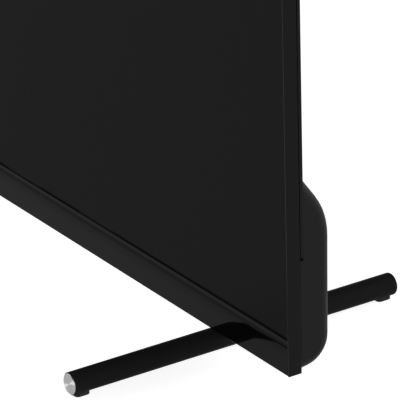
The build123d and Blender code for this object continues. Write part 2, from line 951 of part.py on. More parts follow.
with BuildPart() as lan_socket:
    socket_shell(lan_width, lan_tall, lan_long, lan_share)
    block(
        (socket_face - lan_mouth_long, socket_face + overrun),
        (
            board_back + (lan_tall - lan_mouth_tall) / 2,
            board_back + (lan_tall + lan_mouth_tall) / 2,
        ),
        (bay_height(lan_share) - lan_mouth_width / 2, bay_height(lan_share) + lan_mouth_width / 2),
        mode=Mode.SUBTRACT,
    )
save(lan_socket, "lan_socket")

with BuildPart() as audio_sockets:
    socket_shell(optical_width, optical_tall, optical_long, optical_share)
    optical_middle = board_back + optical_tall / 2
    block(
        (socket_face - optical_mouth_long, socket_face + overrun),
        (optical_middle - optical_mouth / 2, optical_middle + optical_mouth / 2),
        (bay_height(optical_share) - optical_mouth / 2, bay_height(optical_share) + optical_mouth / 2),
        mode=Mode.SUBTRACT,
    )
    socket_shell(headphone_width, headphone_tall, headphone_long, headphone_share)
    rod_across(
        headphone_radius,
        board_back + headphone_tall / 2,
        bay_height(headphone_share),
        (socket_face - headphone_bore_long, socket_face + overrun),
        mode=Mode.SUBTRACT,
    )
save(audio_sockets, "audio_sockets")

tuner_depth = board_back + tuner_base / 2
with BuildPart() as tuner_socket:
    tuner_height = bay_height(tuner_share)
    block(
        (bay_inner - fit_gap - tuner_base_long, bay_inner - fit_gap),
        (board_back, board_back + tuner_base),
        (tuner_height - tuner_base / 2, tuner_height + tuner_base / 2),
    )
    tuner_end = bay_wall_x + tuner_thread_long
    rod_across(tuner_radius, tuner_depth, tuner_height, (bay_inner - tuner_base_long, tuner_end))
    rod_across(
        tuner_mouth_radius,
        tuner_depth,
        tuner_height,
        (tuner_end - tuner_mouth_long, tuner_end + overrun),
        mode=Mode.SUBTRACT,
    )
    rod_across(tuner_pin_radius, tuner_depth, tuner_height, (bay_wall_x, tuner_end - tuner_radius / 2))
save(tuner_socket, "tuner_socket")

# Mains inlet with two pins, on the edge of the power board
inlet_height = (inlet_bay_bottom + inlet_bay_top) / 2
inlet_width = 24.0
inlet_tall = 14.0
inlet_long = 20.0
inlet_mouth_radius = 4.2
inlet_pin_spacing = 8.6
inlet_mouth_long = 12.0
inlet_pin_radius = 1.2
inlet_pin_long = 9.0
inlet_face = -inlet_bay_wall_x + fit_gap
inlet_depth = board_back + inlet_tall / 2
with BuildPart() as mains_inlet:
    block(
        (inlet_face, inlet_face + inlet_long),
        (board_back, board_back + inlet_tall),
        (inlet_height - inlet_width / 2, inlet_height + inlet_width / 2),
    )
    for level in (-1, 1):
        rod_across(
            inlet_mouth_radius,
            inlet_depth,
            inlet_height + level * inlet_pin_spacing / 2,
            (inlet_face - overrun, inlet_face + inlet_mouth_long),
            mode=Mode.SUBTRACT,
        )
    block(
        (inlet_face - overrun, inlet_face + inlet_mouth_long),
        (inlet_depth - inlet_mouth_radius, inlet_depth + inlet_mouth_radius),
        (inlet_height - inlet_pin_spacing / 2, inlet_height + inlet_pin_spacing / 2),
        mode=Mode.SUBTRACT,
    )
    for level in (-1, 1):
        rod_across(
            inlet_pin_radius,
            inlet_depth,
            inlet_height + level * inlet_pin_spacing / 2,
            (inlet_face + inlet_mouth_long - inlet_pin_long, inlet_face + inlet_mouth_long),
        )
save(mains_inlet, "mains_inlet")

# Speakers: a flat box with a slim driver that faces down through slots in the cover
speaker_x = 280.0
speaker_half = 65.0
speaker_front = 13.2
speaker_back = 27.6
speaker_bottom = 23.0
speaker_top = 66.0
speaker_wall = 1.4
speaker_ear = 10.0
speaker_ear_low = 38.0
speaker_ear_high = 52.0
speaker_ear_back = 15.4
driver_depth = (speaker_front + speaker_back) / 2
driver_half_long = 34.0
driver_half_wide = 4.9
driver_flange = 1.6
driver_flange_thickness = 1.4
cone_half_long = 31.8
cone_half_wide = 3.2
cone_thickness = 0.7
coil_half_long = 22.0
coil_half_wide = 3.0
coil_wall = 0.4
coil_height = 6.0
coil_gap = 0.4
yoke_leg = 1.2
yoke_inset = 0.8
yoke_half_wide = 2.2
yoke_top_thickness = 1.2
magnet_height = 5.5
magnet_overlap = 2.2
surround_height = 1.6
surround_drop = 0.9
cone_level = speaker_bottom - driver_flange_thickness
coil_top = cone_level + cone_thickness + coil_height
magnet_bottom = coil_top - magnet_overlap
magnet_top = magnet_bottom + magnet_height
yoke_outer = driver_half_long - yoke_inset


def long_round(x, half_long, half_wide, height_span, mode=Mode.ADD):
    """A flat piece with round ends, longer along the set than from front to back."""
    with BuildSketch(level_plane(height_span[0])) as outline:
        with Locations((x, driver_depth)):
            SlotOverall(2 * half_long, 2 * half_wide)
    extrude(outline.sketch, amount=height_span[1] - height_span[0], mode=mode)


speaker_middles = (-speaker_x, speaker_x)
with BuildPart() as speaker_boxes:
    for middle in speaker_middles:
        block(
            (middle - speaker_half, middle + speaker_half),
            (speaker_front, speaker_back),
            (speaker_bottom, speaker_top),
        )
    fillet(speaker_boxes.edges().filter_by(Axis.Z), speaker_wall)
    for middle in speaker_middles:
        for end in (-1, 1):
            root = middle + end * (speaker_half - speaker_wall)
            tip = middle + end * (speaker_half + speaker_ear)
            block(sorted((root, tip)), (chassis_back, speaker_ear_back), (speaker_ear_low, speaker_ear_high))
        block(
            (middle - speaker_half + speaker_wall, middle + speaker_half - speaker_wall),
            (speaker_front + speaker_wall, speaker_back - speaker_wall),
            (speaker_bottom + speaker_wall, speaker_top - speaker_wall),
            mode=Mode.SUBTRACT,
        )
        long_round(
            middle,
            driver_half_long,
            driver_half_wide,
            (speaker_bottom - overrun, speaker_bottom + speaker_wall + overrun),
            mode=Mode.SUBTRACT,
        )
save(speaker_boxes, "speaker_boxes")

with BuildPart() as speaker_frames:
    flange_span = (cone_level, speaker_bottom)
    leg_span = (speaker_bottom, magnet_top + yoke_top_thickness)
    yoke_span = (driver_depth - yoke_half_wide, driver_depth + yoke_half_wide)
    for middle in speaker_middles:
        long_round(middle, driver_half_long + driver_flange, driver_half_wide + driver_flange, flange_span)
        long_round(
            middle,
            driver_half_long,
            driver_half_wide,
            (cone_level - overrun, speaker_bottom + overrun),
            mode=Mode.SUBTRACT,
        )
        for end in (-1, 1):
            leg_inner = middle + end * (yoke_outer - yoke_leg)
            leg_outer = middle + end * yoke_outer
            root_outer = middle + end * (driver_half_long + yoke_leg)
            block(sorted((leg_inner, leg_outer)), yoke_span, leg_span)
            block(sorted((leg_inner, root_outer)), yoke_span, flange_span)
        block((middle - yoke_outer, middle + yoke_outer), yoke_span, (magnet_top, leg_span[1]))
save(speaker_frames, "speaker_frames")

with BuildPart() as speaker_magnets:
    for middle in speaker_middles:
        long_round(
            middle,
            coil_half_long - coil_wall - coil_gap,
            coil_half_wide - coil_wall - coil_gap,
            (magnet_bottom, magnet_top),
        )
save(speaker_magnets, "speaker_magnets")

for label, middle in zip(("left", "right"), speaker_middles):
    with BuildPart() as speaker_cone:
        long_round(middle, cone_half_long, cone_half_wide, (cone_level, cone_level + cone_thickness))
        long_round(middle, coil_half_long, coil_half_wide, (cone_level + cone_thickness, coil_top))
        long_round(
            middle,
            coil_half_long - coil_wall,
            coil_half_wide - coil_wall,
            (cone_level + cone_thickness, coil_top + overrun),
            mode=Mode.SUBTRACT,
        )
    save(speaker_cone, "speaker_cone_" + label)

    with BuildPart() as speaker_surround:
        surround_span = (cone_level - surround_drop, cone_level - surround_drop + surround_height)
        cut_span = (surround_span[0] - overrun, surround_span[1] + overrun)
        long_round(middle, driver_half_long, driver_half_wide, surround_span)
        long_round(middle, cone_half_long, cone_half_wide, cut_span, mode=Mode.SUBTRACT)
        for end in (-1, 1):
            notch_inner = middle + end * (yoke_outer - yoke_leg - coil_gap / 2)
            notch_outer = middle + end * (yoke_outer + yoke_leg)
            block(
                sorted((notch_inner, notch_outer)),
                (yoke_span[0] - coil_gap / 2, yoke_span[1] + coil_gap / 2),
                cut_span,
                mode=Mode.SUBTRACT,
            )
    save(speaker_surround, "speaker_surround_" + label)

# Control key behind the lower right corner: a small stick that tilts four ways and presses in
key_x = 435.0
key_height = 48.0
dish_mouth_radius = 15.0
dish_floor_radius = 12.0
dish_floor = 30.2
dish_wall = 2.0
dish_hole_radius = 4.0
key_board_front = 18.2
key_board_thickness = 1.2
key_board_half_width = 13.0
key_board_half_height = 16.0
key_post_radius = 2.5
key_post_inset = 3.5
key_post_rise = 12.5
key_housing_half = 7.0
key_cavity_half = 5.4
key_cavity_front = 21.2
key_housing_back = 26.2
key_pivot = 23.6
gimbal_outer = 4.8
gimbal_inner = 3.0
gimbal_half_depth = 1.0
gimbal_pin_radius = 0.7
stick_pin_radius = 0.6
pin_clearance = 0.05
stick_radius = 1.5
stick_back = 33.0
knob_radius = 5.2
knob_front = 32.0
knob_back = 35.0
knob_bore_clearance = 0.06
knob_press = 0.6
knob_round = 0.8
knob_dimple_radius = 9.0
knob_dimple_depth = 0.5
key_board_back = key_board_front + key_board_thickness

with BuildPart() as key_housing:
    block(
        (key_x - key_board_half_width, key_x + key_board_half_width),
        (key_board_front, key_board_back),
        (key_height - key_board_half_height, key_height + key_board_half_height),
    )
    block(
        (key_x - key_housing_half, key_x + key_housing_half),
        (key_board_back, key_housing_back),
        (key_height - key_housing_half, key_height + key_housing_half),
    )
    block(
        (key_x - key_cavity_half, key_x + key_cavity_half),
        (key_cavity_front, key_housing_back + overrun),
        (key_height - key_cavity_half, key_height + key_cavity_half),
        mode=Mode.SUBTRACT,
    )
    rod_across(
        gimbal_pin_radius + pin_clearance,
        key_pivot,
        key_height,
        (key_x - key_housing_half - overrun, key_x + key_housing_half + overrun),
        mode=Mode.SUBTRACT,
    )
save(key_housing, "key_housing")

with BuildPart() as key_gimbal:
    pin_span = (key_x - key_housing_half, key_x + key_housing_half)
    ring_span = (key_pivot - gimbal_half_depth, key_pivot + gimbal_half_depth)
    rod_across(gimbal_pin_radius, key_pivot, key_height, pin_span)
    rod_back(gimbal_outer, key_x, key_height, ring_span)
    rod_back(
        gimbal_inner,
        key_x,
        key_height,
        (key_pivot - gimbal_half_depth - overrun, key_pivot + gimbal_half_depth + overrun),
        mode=Mode.SUBTRACT,
    )
    rod_up(
        stick_pin_radius + pin_clearance,
        key_x,
        key_pivot,
        (key_height - gimbal_outer - overrun, key_height + gimbal_outer + overrun),
        mode=Mode.SUBTRACT,
    )
save(key_gimbal, "key_gimbal")

with BuildPart() as key_stick:
    rod_up(stick_pin_radius, key_x, key_pivot, (key_height - gimbal_outer, key_height + gimbal_outer))
    rod_back(stick_radius, key_x, key_height, (key_pivot - gimbal_half_depth, stick_back))
save(key_stick, "key_stick")

with BuildPart() as key_knob:
    rod_back(knob_radius, key_x, key_height, (knob_front, knob_back))
    fillet(key_knob.edges().sort_by(Axis.Y)[-1], knob_round)
    dimple_depth = knob_back + knob_dimple_radius - knob_dimple_depth
    with Locations((key_x, face_y + dimple_depth, set_bottom + key_height)):
        Sphere(knob_dimple_radius, mode=Mode.SUBTRACT)
    rod_back(
        stick_radius + knob_bore_clearance,
        key_x,
        key_height,
        (knob_front - overrun, stick_back + knob_press + fit_gap),
        mode=Mode.SUBTRACT,
    )
save(key_knob, "key_knob")

# Feet: round bars under the set, each bolted to a saddle whose post goes up into the set
pad_length = 11.5
pad_width = 9.0
pad_inset = 2.0
pad_height = 2.6
pad_corner_radius = 3.0
pad_stem_radius = 2.2
pad_round = 0.4
pad_depths = (foot_front + pad_inset + pad_length / 2, foot_rear - pad_inset - pad_length / 2)
table_level = -set_bottom
cap_radius = 7.3
cap_proud = 0.8
cap_seat = 1.2
cap_edge = 0.3
spigot_long = 9.0
spigot_clearance = 0.08
plug_radius = 7.7
plug_round = 0.75
saddle_half_width = 9.0
saddle_front = 8.5
saddle_back = 26.0
saddle_low = -7.0
saddle_gap = 0.4
saddle_rear_height = 3.4
saddle_bend_depth = 20.0
saddle_bend_height = 0.7
saddle_post_front = 13.2
saddle_post_back = 23.8
saddle_post_top = 64.0
cradle_gap = 0.06
foot_screw_pitch = 6.6
foot_screw_radius = 1.9
foot_screw_head_radius = 3.0
foot_screw_head_height = 2.0
foot_screw_reach = 12.0
foot_screw_access = 3.5
post_screw_low = 44.0
post_screw_high = 57.0
post_screw_heights = (post_screw_low, post_screw_high)
post_screw_top_radius = 3.6
post_screw_top_height = 2.4
bracket_half_width = 24.0
bracket_low = 32.0
bracket_high = 72.0
stand_bracket_sheet = 2.0
foot_hole_clearance = 0.15
foot_screw_middle = (saddle_post_front + saddle_post_back) / 2
foot_screw_depths = (foot_screw_middle - foot_screw_pitch / 2, foot_screw_middle + foot_screw_pitch / 2)
head_seat = foot_axis_height + (foot_radius - foot_wall) - foot_screw_head_height / 2

for label, side in (("left", -1), ("right", 1)):
    middle = side * foot_x
    with BuildPart() as foot_tube:
        rod_back(foot_radius, middle, foot_axis_height, (foot_front, foot_rear))
        fillet(foot_tube.edges().filter_by(GeomType.CIRCLE), edge_round)
        rod_back(
            foot_radius - foot_wall,
            middle,
            foot_axis_height,
            (foot_front - overrun, foot_rear + overrun),
            mode=Mode.SUBTRACT,
        )
        rod_back(
            cap_radius + spigot_clearance,
            middle,
            foot_axis_height,
            (foot_front - overrun, foot_front + cap_seat),
            mode=Mode.SUBTRACT,
        )
        for depth in pad_depths:
            tube_low = foot_axis_height - foot_radius
            rod_up(
                pad_stem_radius + spigot_clearance,
                middle,
                depth,
                (tube_low - overrun, tube_low + foot_wall + overrun),
                mode=Mode.SUBTRACT,
            )
        for depth in foot_screw_depths:
            rod_up(
                foot_screw_radius + foot_hole_clearance,
                middle,
                depth,
                (foot_axis_height, foot_axis_height + foot_radius + overrun),
                mode=Mode.SUBTRACT,
            )
            rod_up(
                foot_screw_access,
                middle,
                depth,
                (foot_axis_height - foot_radius - overrun, foot_axis_height),
                mode=Mode.SUBTRACT,
            )
    save(foot_tube, "foot_tube_" + label)

foot_middles = (-foot_x, foot_x)
with BuildPart() as foot_saddles:
    for middle in foot_middles:
        with BuildSketch(side_plane(middle - saddle_half_width)):
            with BuildLine():
                Polyline(
                    (saddle_front, saddle_low),
                    (saddle_back, saddle_low),
                    (saddle_back, saddle_rear_height),
                    (saddle_bend_depth, saddle_bend_height),
                    (bar_front + saddle_gap, -saddle_gap),
                    (saddle_front, -saddle_gap),
                    close=True,
                )
            make_face()
    extrude(amount=2 * saddle_half_width)
    for middle in foot_middles:
        block(
            (middle - saddle_half_width, middle + saddle_half_width),
            (saddle_post_front, saddle_post_back),
            (saddle_low, saddle_post_top),
        )
        rod_back(
            foot_radius + cradle_gap,
            middle,
            foot_axis_height,
            (saddle_front - overrun, saddle_back + overrun),
            mode=Mode.SUBTRACT,
        )
        for depth in foot_screw_depths:
            rod_up(
                foot_screw_radius + foot_hole_clearance,
                middle,
                depth,
                (foot_axis_height, foot_screw_reach),
                mode=Mode.SUBTRACT,
            )
        for height in post_screw_heights:
            rod_back(
                foot_screw_radius + foot_hole_clearance,
                middle,
                height,
                (saddle_post_front - overrun, saddle_post_back + overrun),
                mode=Mode.SUBTRACT,
            )
save(foot_saddles, "foot_saddles")

# Steel brackets on the chassis that take the posts of the saddles
with BuildPart() as stand_brackets:
    for middle in foot_middles:
        bracket_span = (middle - bracket_half_width, middle + bracket_half_width)
        block(bracket_span, (chassis_back, saddle_post_front), (bracket_low, bracket_high))
        block(
            (bracket_span[0] + stand_bracket_sheet, bracket_span[1] - stand_bracket_sheet),
            (chassis_back - overrun, saddle_post_front - stand_bracket_sheet),
            (bracket_low - overrun, bracket_high + overrun),
            mode=Mode.SUBTRACT,
        )
        for height in post_screw_heights:
            rod_back(
                foot_screw_radius + foot_hole_clearance,
                middle,
                height,
                (chassis_back, saddle_post_front + overrun),
                mode=Mode.SUBTRACT,
            )
save(stand_brackets, "stand_brackets")

with BuildPart() as foot_front_caps:
    for side in (-1, 1):
        middle = side * foot_x
        rod_back(cap_radius, middle, foot_axis_height, (foot_front - cap_proud, foot_front + cap_seat))
        rod_back(
            foot_radius - foot_wall - spigot_clearance,
            middle,
            foot_axis_height,
            (foot_front + cap_seat, foot_front + cap_seat + spigot_long),
        )
    chamfer(foot_front_caps.edges().filter_by(GeomType.CIRCLE).group_by(Axis.Y)[0], cap_edge)
save(foot_front_caps, "foot_front_caps")

with BuildPart() as foot_rear_plugs:
    for side in (-1, 1):
        middle = side * foot_x
        rod_back(plug_radius, middle, foot_axis_height, (foot_rear, foot_rear + cap_proud))
        rod_back(
            foot_radius - foot_wall - spigot_clearance,
            middle,
            foot_axis_height,
            (foot_rear - spigot_long, foot_rear),
        )
    fillet(foot_rear_plugs.edges().filter_by(GeomType.CIRCLE).group_by(Axis.Y)[-1], plug_round)
save(foot_rear_plugs, "foot_rear_plugs")

with BuildPart() as foot_pads:
    for middle in foot_middles:
        for depth in pad_depths:
            with BuildSketch(level_plane(table_level)) as pad_outline:
                with Locations((middle, depth)):
                    RectangleRounded(pad_width, pad_length, pad_corner_radius)
            extrude(pad_outline.sketch, amount=pad_height + pad_drop)
    fillet(foot_pads.faces().group_by(Axis.Z)[0].edges(), pad_round)
    for middle in foot_middles:
        rod_back(
            foot_radius + cradle_gap,
            middle,
            foot_axis_height,
            (foot_front - overrun, foot_rear + overrun),
            mode=Mode.SUBTRACT,
        )
        for depth in pad_depths:
            rod_up(
                pad_stem_radius,
                middle,
                depth,
                (table_level + pad_drop / 2, foot_axis_height - foot_radius + foot_wall),
            )
save(foot_pads, "foot_pads")

with BuildPart() as foot_screws:
    for side in (-1, 1):
        middle = side * foot_x
        for depth in foot_screw_depths:
            rod_up(foot_screw_radius, middle, depth, (head_seat, foot_screw_reach - fit_gap))
            rod_up(foot_screw_head_radius, middle, depth, (head_seat - foot_screw_head_height, head_seat))
        for height in post_screw_heights:
            rod_back(foot_screw_radius, middle, height, (chassis_back + fit_gap, saddle_post_back))
            rod_back(
                post_screw_top_radius,
                middle,
                height,
                (saddle_post_back, saddle_post_back + post_screw_top_height),
            )
save(foot_screws, "foot_screws")

# Rear cover, with its bosses, vents, grilles and openings
boss_radius = 4.5
boss_bore_radius = 3.4
boss_floor = 6.0
cover_screw_radius = 1.5
cover_screw_head_radius = 3.0
cover_screw_head_height = 2.2
top_screw_x = 150.0
top_screw_rise = 332.0
low_screw_x = 215.0
low_screw_rise = 84.0
bar_screw_x = 460.0
bar_screw_rise = 62.0
housing_screw_places = [(side * top_screw_x, top_screw_rise) for side in (-1, 1)]
housing_screw_places += [(side * low_screw_x, low_screw_rise) for side in (-1, 1)]
bar_screw_places = [(side * bar_screw_x, bar_screw_rise) for side in (-1, 1)]
grille_slot_width = 2.0
grille_pitch = 4.4
grille_count = 27
grille_front = 13.8
grille_back = 24.8
grille_top = 15.0
vent_width = 3.0
vent_pitch = 8.0
vent_count = 50
vent_front = 20.0
vent_back = 46.0
vent_reach = 12.0
low_vent_front = 36.0
low_vent_back = 48.0
saddle_slot_top = 16.0
post_screw_access = 4.0
inner_reach = 4.0
bar_face = bar_depth + cover_lean / 2
dish_slope = (dish_mouth_radius - dish_floor_radius) / (bar_face - dish_floor)
key_post_half_width = key_board_half_width - key_post_inset
boss_floor_depth = chassis_back + boss_floor
screw_places = [(x, height, housing_depth) for x, height in housing_screw_places]
screw_places += [(x, height, bar_face) for x, height in bar_screw_places]


def slot_row(count, pitch, middle, width, depth_span, height_span):
    """A row of narrow blocks along the set."""
    depth = (depth_span[0] + depth_span[1]) / 2
    height = (height_span[0] + height_span[1]) / 2
    with Locations((middle, face_y + depth, set_bottom + height)):
        with GridLocations(pitch, pitch, count, 1):
            Box(width, depth_span[1] - depth_span[0], height_span[1] - height_span[0])


def socket_opening(share, width, tall):
    """The hole in the wall of the bay for one socket."""
    block(
        (bay_inner - overrun, bay_wall_x + overrun),
        (board_back - fit_gap, board_back + tall + fit_gap),
        (bay_height(share) - width / 2 - fit_gap, bay_height(share) + width / 2 + fit_gap),
    )


# All that is cut out of the cover, gathered first
with BuildPart() as cover_cuts:
    for x, height, rear in screw_places:
        rod_back(boss_bore_radius, x, height, (boss_floor_depth, rear + overrun))
        rod_back(cover_screw_radius + screw_clearance, x, height, (chassis_back - overrun, boss_floor_depth))
    cone_back(
        dish_floor_radius,
        dish_mouth_radius + dish_slope * overrun,
        key_x,
        key_height,
        (dish_floor, bar_face + overrun),
    )
    rod_back(dish_hole_radius, key_x, key_height, (dish_floor - dish_wall - overrun, dish_floor + overrun))
    for side in (-1, 1):
        slot_row(
            grille_count,
            grille_pitch,
            side * speaker_x,
            grille_slot_width,
            (grille_front, grille_back),
            (0, grille_top),
        )
        block(
            (side * foot_x - saddle_half_width - saddle_gap, side * foot_x + saddle_half_width + saddle_gap),
            (saddle_post_front - saddle_gap, saddle_post_back + saddle_gap),
            (0, saddle_slot_top),
        )
        for height in post_screw_heights:
            rear_wall = (bar_face - cover_wall - overrun, bar_face + overrun)
            rod_back(post_screw_access, side * foot_x, height, rear_wall)
    slot_row(
        vent_count,
        vent_pitch,
        0,
        vent_width,
        (vent_front, vent_back),
        (housing_top - vent_reach, housing_top + overrun),
    )
    slot_row(
        vent_count,
        vent_pitch,
        0,
        vent_width,
        (low_vent_front, low_vent_back),
        (housing_bottom - overrun, housing_bottom + vent_reach),
    )
    for x, height in mount_places:
        housing_wall = (housing_depth - cover_wall - overrun, housing_depth + overrun)
        rod_back(mount_post_radius + fit_gap, x, height, housing_wall)
    for share in hdmi_shares:
        socket_opening(share, hdmi_width, hdmi_tall)
    for share in usb_shares:
        socket_opening(share, usb_width, usb_tall)
    socket_opening(lan_share, lan_width, lan_tall)
    socket_opening(optical_share, optical_width, optical_tall)
    socket_opening(headphone_share, headphone_width, headphone_tall)
    rod_across(
        tuner_radius + fit_gap,
        tuner_depth,
        bay_height(tuner_share),
        (bay_inner - overrun, bay_wall_x + overrun),
    )
    block(
        (-inlet_bay_wall_x - overrun, -inlet_bay_inner + overrun),
        (board_back - fit_gap, board_back + inlet_tall + fit_gap),
        (inlet_height - inlet_width / 2 - fit_gap, inlet_height + inlet_width / 2 + fit_gap),
    )

outer_forms = (bulge_form(0, 0), housing_form(0))
inner_forms = (bulge_form(cover_wall, inner_reach), housing_form(cover_wall))
with BuildPart() as rear_cover:
    for form in outer_forms:
        add(form)
    for form in inner_forms:
        add(form, mode=Mode.SUBTRACT)
    for x, height, rear in screw_places:
        rod_back(boss_radius, x, height, (chassis_back, rear - cover_wall / 2))
    cone_back(
        dish_floor_radius + dish_wall,
        dish_mouth_radius + dish_wall,
        key_x,
        key_height,
        (dish_floor - dish_wall, bar_face - cover_wall / 2),
    )
    for across in (-1, 1):
        for level in (-1, 1):
            rod_back(
                key_post_radius,
                key_x + across * key_post_half_width,
                key_height + level * key_post_rise,
                (key_board_back, bar_face - cover_wall / 2),
            )
    add(cover_cuts.part, mode=Mode.SUBTRACT)
save(rear_cover, "rear_cover")

with BuildPart() as cover_screws:
    for x, height, rear in screw_places:
        rod_back(cover_screw_radius, x, height, (chassis_back, boss_floor_depth))
        rod_back(
            cover_screw_head_radius,
            x,
            height,
            (boss_floor_depth, boss_floor_depth + cover_screw_head_height),
        )
save(cover_screws, "cover_screws")
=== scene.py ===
import math

import bmesh
import bpy
from mathutils import Matrix, Vector


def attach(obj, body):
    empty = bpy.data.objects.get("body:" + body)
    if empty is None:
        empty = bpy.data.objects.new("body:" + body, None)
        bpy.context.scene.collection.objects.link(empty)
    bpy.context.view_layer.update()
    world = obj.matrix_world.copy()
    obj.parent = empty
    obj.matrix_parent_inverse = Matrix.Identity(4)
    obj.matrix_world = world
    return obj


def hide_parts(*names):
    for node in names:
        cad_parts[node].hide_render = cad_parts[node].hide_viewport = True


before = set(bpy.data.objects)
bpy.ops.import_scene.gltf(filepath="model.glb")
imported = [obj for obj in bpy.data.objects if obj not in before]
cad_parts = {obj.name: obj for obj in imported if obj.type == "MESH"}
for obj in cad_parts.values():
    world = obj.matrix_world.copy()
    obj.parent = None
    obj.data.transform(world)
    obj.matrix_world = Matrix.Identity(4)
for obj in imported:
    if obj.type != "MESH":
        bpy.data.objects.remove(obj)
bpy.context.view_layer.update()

# Flat screen television on two round bar feet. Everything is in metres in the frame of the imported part:
# X to the viewer's right, Y to the back, Z up, with the table at zero.

# Camera: found from the edges of the set and the foot
CAMERA_PLACE = (2.47484, -1.38575, 1.22168)
CAMERA_AROUND = 0.993568
CAMERA_UP = 0.417719
CAMERA_ROLL = -0.026403
CAMERA_LENS = 368.44
CAMERA_SENSOR = 36.0
CAMERA_NEAR = 0.05
CAMERA_FAR = 50.0

right = Vector((math.cos(CAMERA_AROUND), math.sin(CAMERA_AROUND), 0))
behind = Vector((
    math.sin(CAMERA_AROUND) * math.cos(CAMERA_UP),
    -math.cos(CAMERA_AROUND) * math.cos(CAMERA_UP),
    math.sin(CAMERA_UP),
))
upward = behind.cross(right)
rolled_right = math.cos(CAMERA_ROLL) * right + math.sin(CAMERA_ROLL) * upward
rolled_up = math.cos(CAMERA_ROLL) * upward - math.sin(CAMERA_ROLL) * right
lens = bpy.data.cameras.new("camera")
lens.sensor_fit = "HORIZONTAL"
lens.sensor_width = CAMERA_SENSOR
lens.lens = CAMERA_LENS
lens.clip_start = CAMERA_NEAR
lens.clip_end = CAMERA_FAR
camera = bpy.data.objects.new("camera", lens)
stance = Matrix((rolled_right, rolled_up, behind)).transposed().to_4x4()
camera.matrix_world = Matrix.Translation(CAMERA_PLACE) @ stance
bpy.context.scene.collection.objects.link(camera)
bpy.context.scene.camera = camera
bpy.context.scene.view_settings.view_transform = "Standard"


# Colours and nodes

MM = 0.001
FRONT_FACE = -20.3
SET_BOTTOM = 19.5

# How much detail the coarse and the fine pattern of a finish hold, and the part of the fine pattern's range
# that its gloss follows
COARSE_DETAIL = 3.0
FINE_DETAIL = 2.0
GLOSS_FROM = 0.3
GLOSS_TO = 0.7


def shade(code):
    """An sRGB hex colour as linear values."""
    parts = [int(code[i:i + 2], 16) / 255 for i in (1, 3, 5)]
    return tuple(p / 12.92 if p <= 0.04045 else ((p + 0.055) / 1.055) ** 2.4 for p in parts) + (1.0,)


def add(tree, kind, settings=None, links=None):
    """Adds a node, sets its properties and inputs, and links its inputs."""
    made = tree.nodes.new(kind)
    for name, value in (settings or {}).items():
        if isinstance(name, str) and hasattr(made, name):
            setattr(made, name, value)
        else:
            made.inputs[name].default_value = value
    for name, socket in (links or {}).items():
        tree.links.new(socket, made.inputs[name])
    return made


def blank(name):
    """A new material with an empty node tree."""
    material = bpy.data.materials.new(name)
    material.use_nodes = True
    material.node_tree.nodes.clear()
    return material


def finish(name, dark, light, mottle, grain, depth, rough, drawn=(1, 1, 1), **shader):
    """A finish with a mottled colour, a fine grain in its surface and a gloss that varies a little.
    mottle and grain are the sizes of the two patterns in mm, depth is the grain's depth in mm, and drawn
    shortens the patterns' coordinates along an axis, so that they run along it as drawn or rolled lines."""
    material = blank(name)
    tree = material.node_tree
    place = add(tree, "ShaderNodeTexCoord").outputs["Object"]
    lined = add(tree, "ShaderNodeMapping", {"Scale": drawn}, {"Vector": place}).outputs["Vector"]
    coarse = add(
        tree, "ShaderNodeTexNoise", {"Scale": 1 / (mottle * MM), "Detail": COARSE_DETAIL}, {"Vector": lined}
    )
    fine = add(
        tree, "ShaderNodeTexNoise", {"Scale": 1 / (grain * MM), "Detail": FINE_DETAIL}, {"Vector": lined}
    )
    colour = add(
        tree,
        "ShaderNodeMix",
        {"data_type": "RGBA", 6: shade(dark), 7: shade(light)},
        {0: coarse.outputs["Fac"]},
    )
    gloss = add(
        tree,
        "ShaderNodeMapRange",
        {"From Min": GLOSS_FROM, "From Max": GLOSS_TO, "To Min": rough[0], "To Max": rough[1]},
        {"Value": fine.outputs["Fac"]},
    )
    bump = add(
        tree, "ShaderNodeBump", {"Strength": 1.0, "Distance": depth * MM}, {"Height": fine.outputs["Fac"]}
    )
    skin = add(
        tree,
        "ShaderNodeBsdfPrincipled",
        shader,
        {
            "Base Color": colour.outputs[2],
            "Roughness": gloss.outputs["Result"],
            "Normal": bump.outputs["Normal"],
        },
    )
    add(tree, "ShaderNodeOutputMaterial", {}, {"Surface": skin.outputs["BSDF"]})
    return material


# Sheens of the dark surfaces, matched to the object: the specular level sets how much of the pale studio
# they give back
MATT_SHEEN = {"IOR": 1.45, "Specular IOR Level": 0.05}
SATIN_SHEEN = {"IOR": 1.5, "Specular IOR Level": 0.08}
GLOSS_SHEEN = {"IOR": 1.5, "Specular IOR Level": 0.037}
PAINT_SHEEN = {"IOR": 1.5, "Specular IOR Level": 0.01}
PLASTIC_SHEEN = {"IOR": 1.5, "Specular IOR Level": 0.35}
COAT_SHEEN = {"IOR": 1.3, "Specular IOR Level": 0.02}
RUBBER_SHEEN = {"Specular IOR Level": 0.25}
PAPER_SHEEN = {"Specular IOR Level": 0.15}

# Screen: polarising film with an anti-glare coat over a black cell, so it is matt and even; the coat's
# speckle is drawn ten times too coarse, so that it shows
antiglare_film = finish(
    "antiglare_film", "#202020", "#222222", mottle=6.0, grain=0.6, depth=0.002, rough=(0.42, 0.5),
    **COAT_SHEEN,
)
# Middle frame: glass filled polycarbonate, moulded with a fine matt texture that swallows the light
frame_polycarbonate = finish(
    "frame_polycarbonate", "#060606", "#090909", mottle=8.0, grain=0.8, depth=0.01, rough=(0.5, 0.6),
    **MATT_SHEEN,
)
# Bezel: ABS moulded against a polished steel tool, high gloss, so it mirrors the foot and the table; the
# long slow waves are its sink and flow
polished_abs = finish(
    "polished_abs", "#080808", "#090909", mottle=40.0, grain=6.0, depth=0.0004, rough=(0.07, 0.1),
    **GLOSS_SHEEN,
)
# Side frames: extruded aluminium with a satin black anodised face and faint die lines along it; the lines
# are drawn coarser than the real ones, so that they show
anodised_side = finish(
    "anodised_side", "#0e0e0e", "#111111", mottle=3.0, grain=0.5, depth=0.002, rough=(0.3, 0.36),
    drawn=(1, 1, 0.02), **SATIN_SHEEN,
)
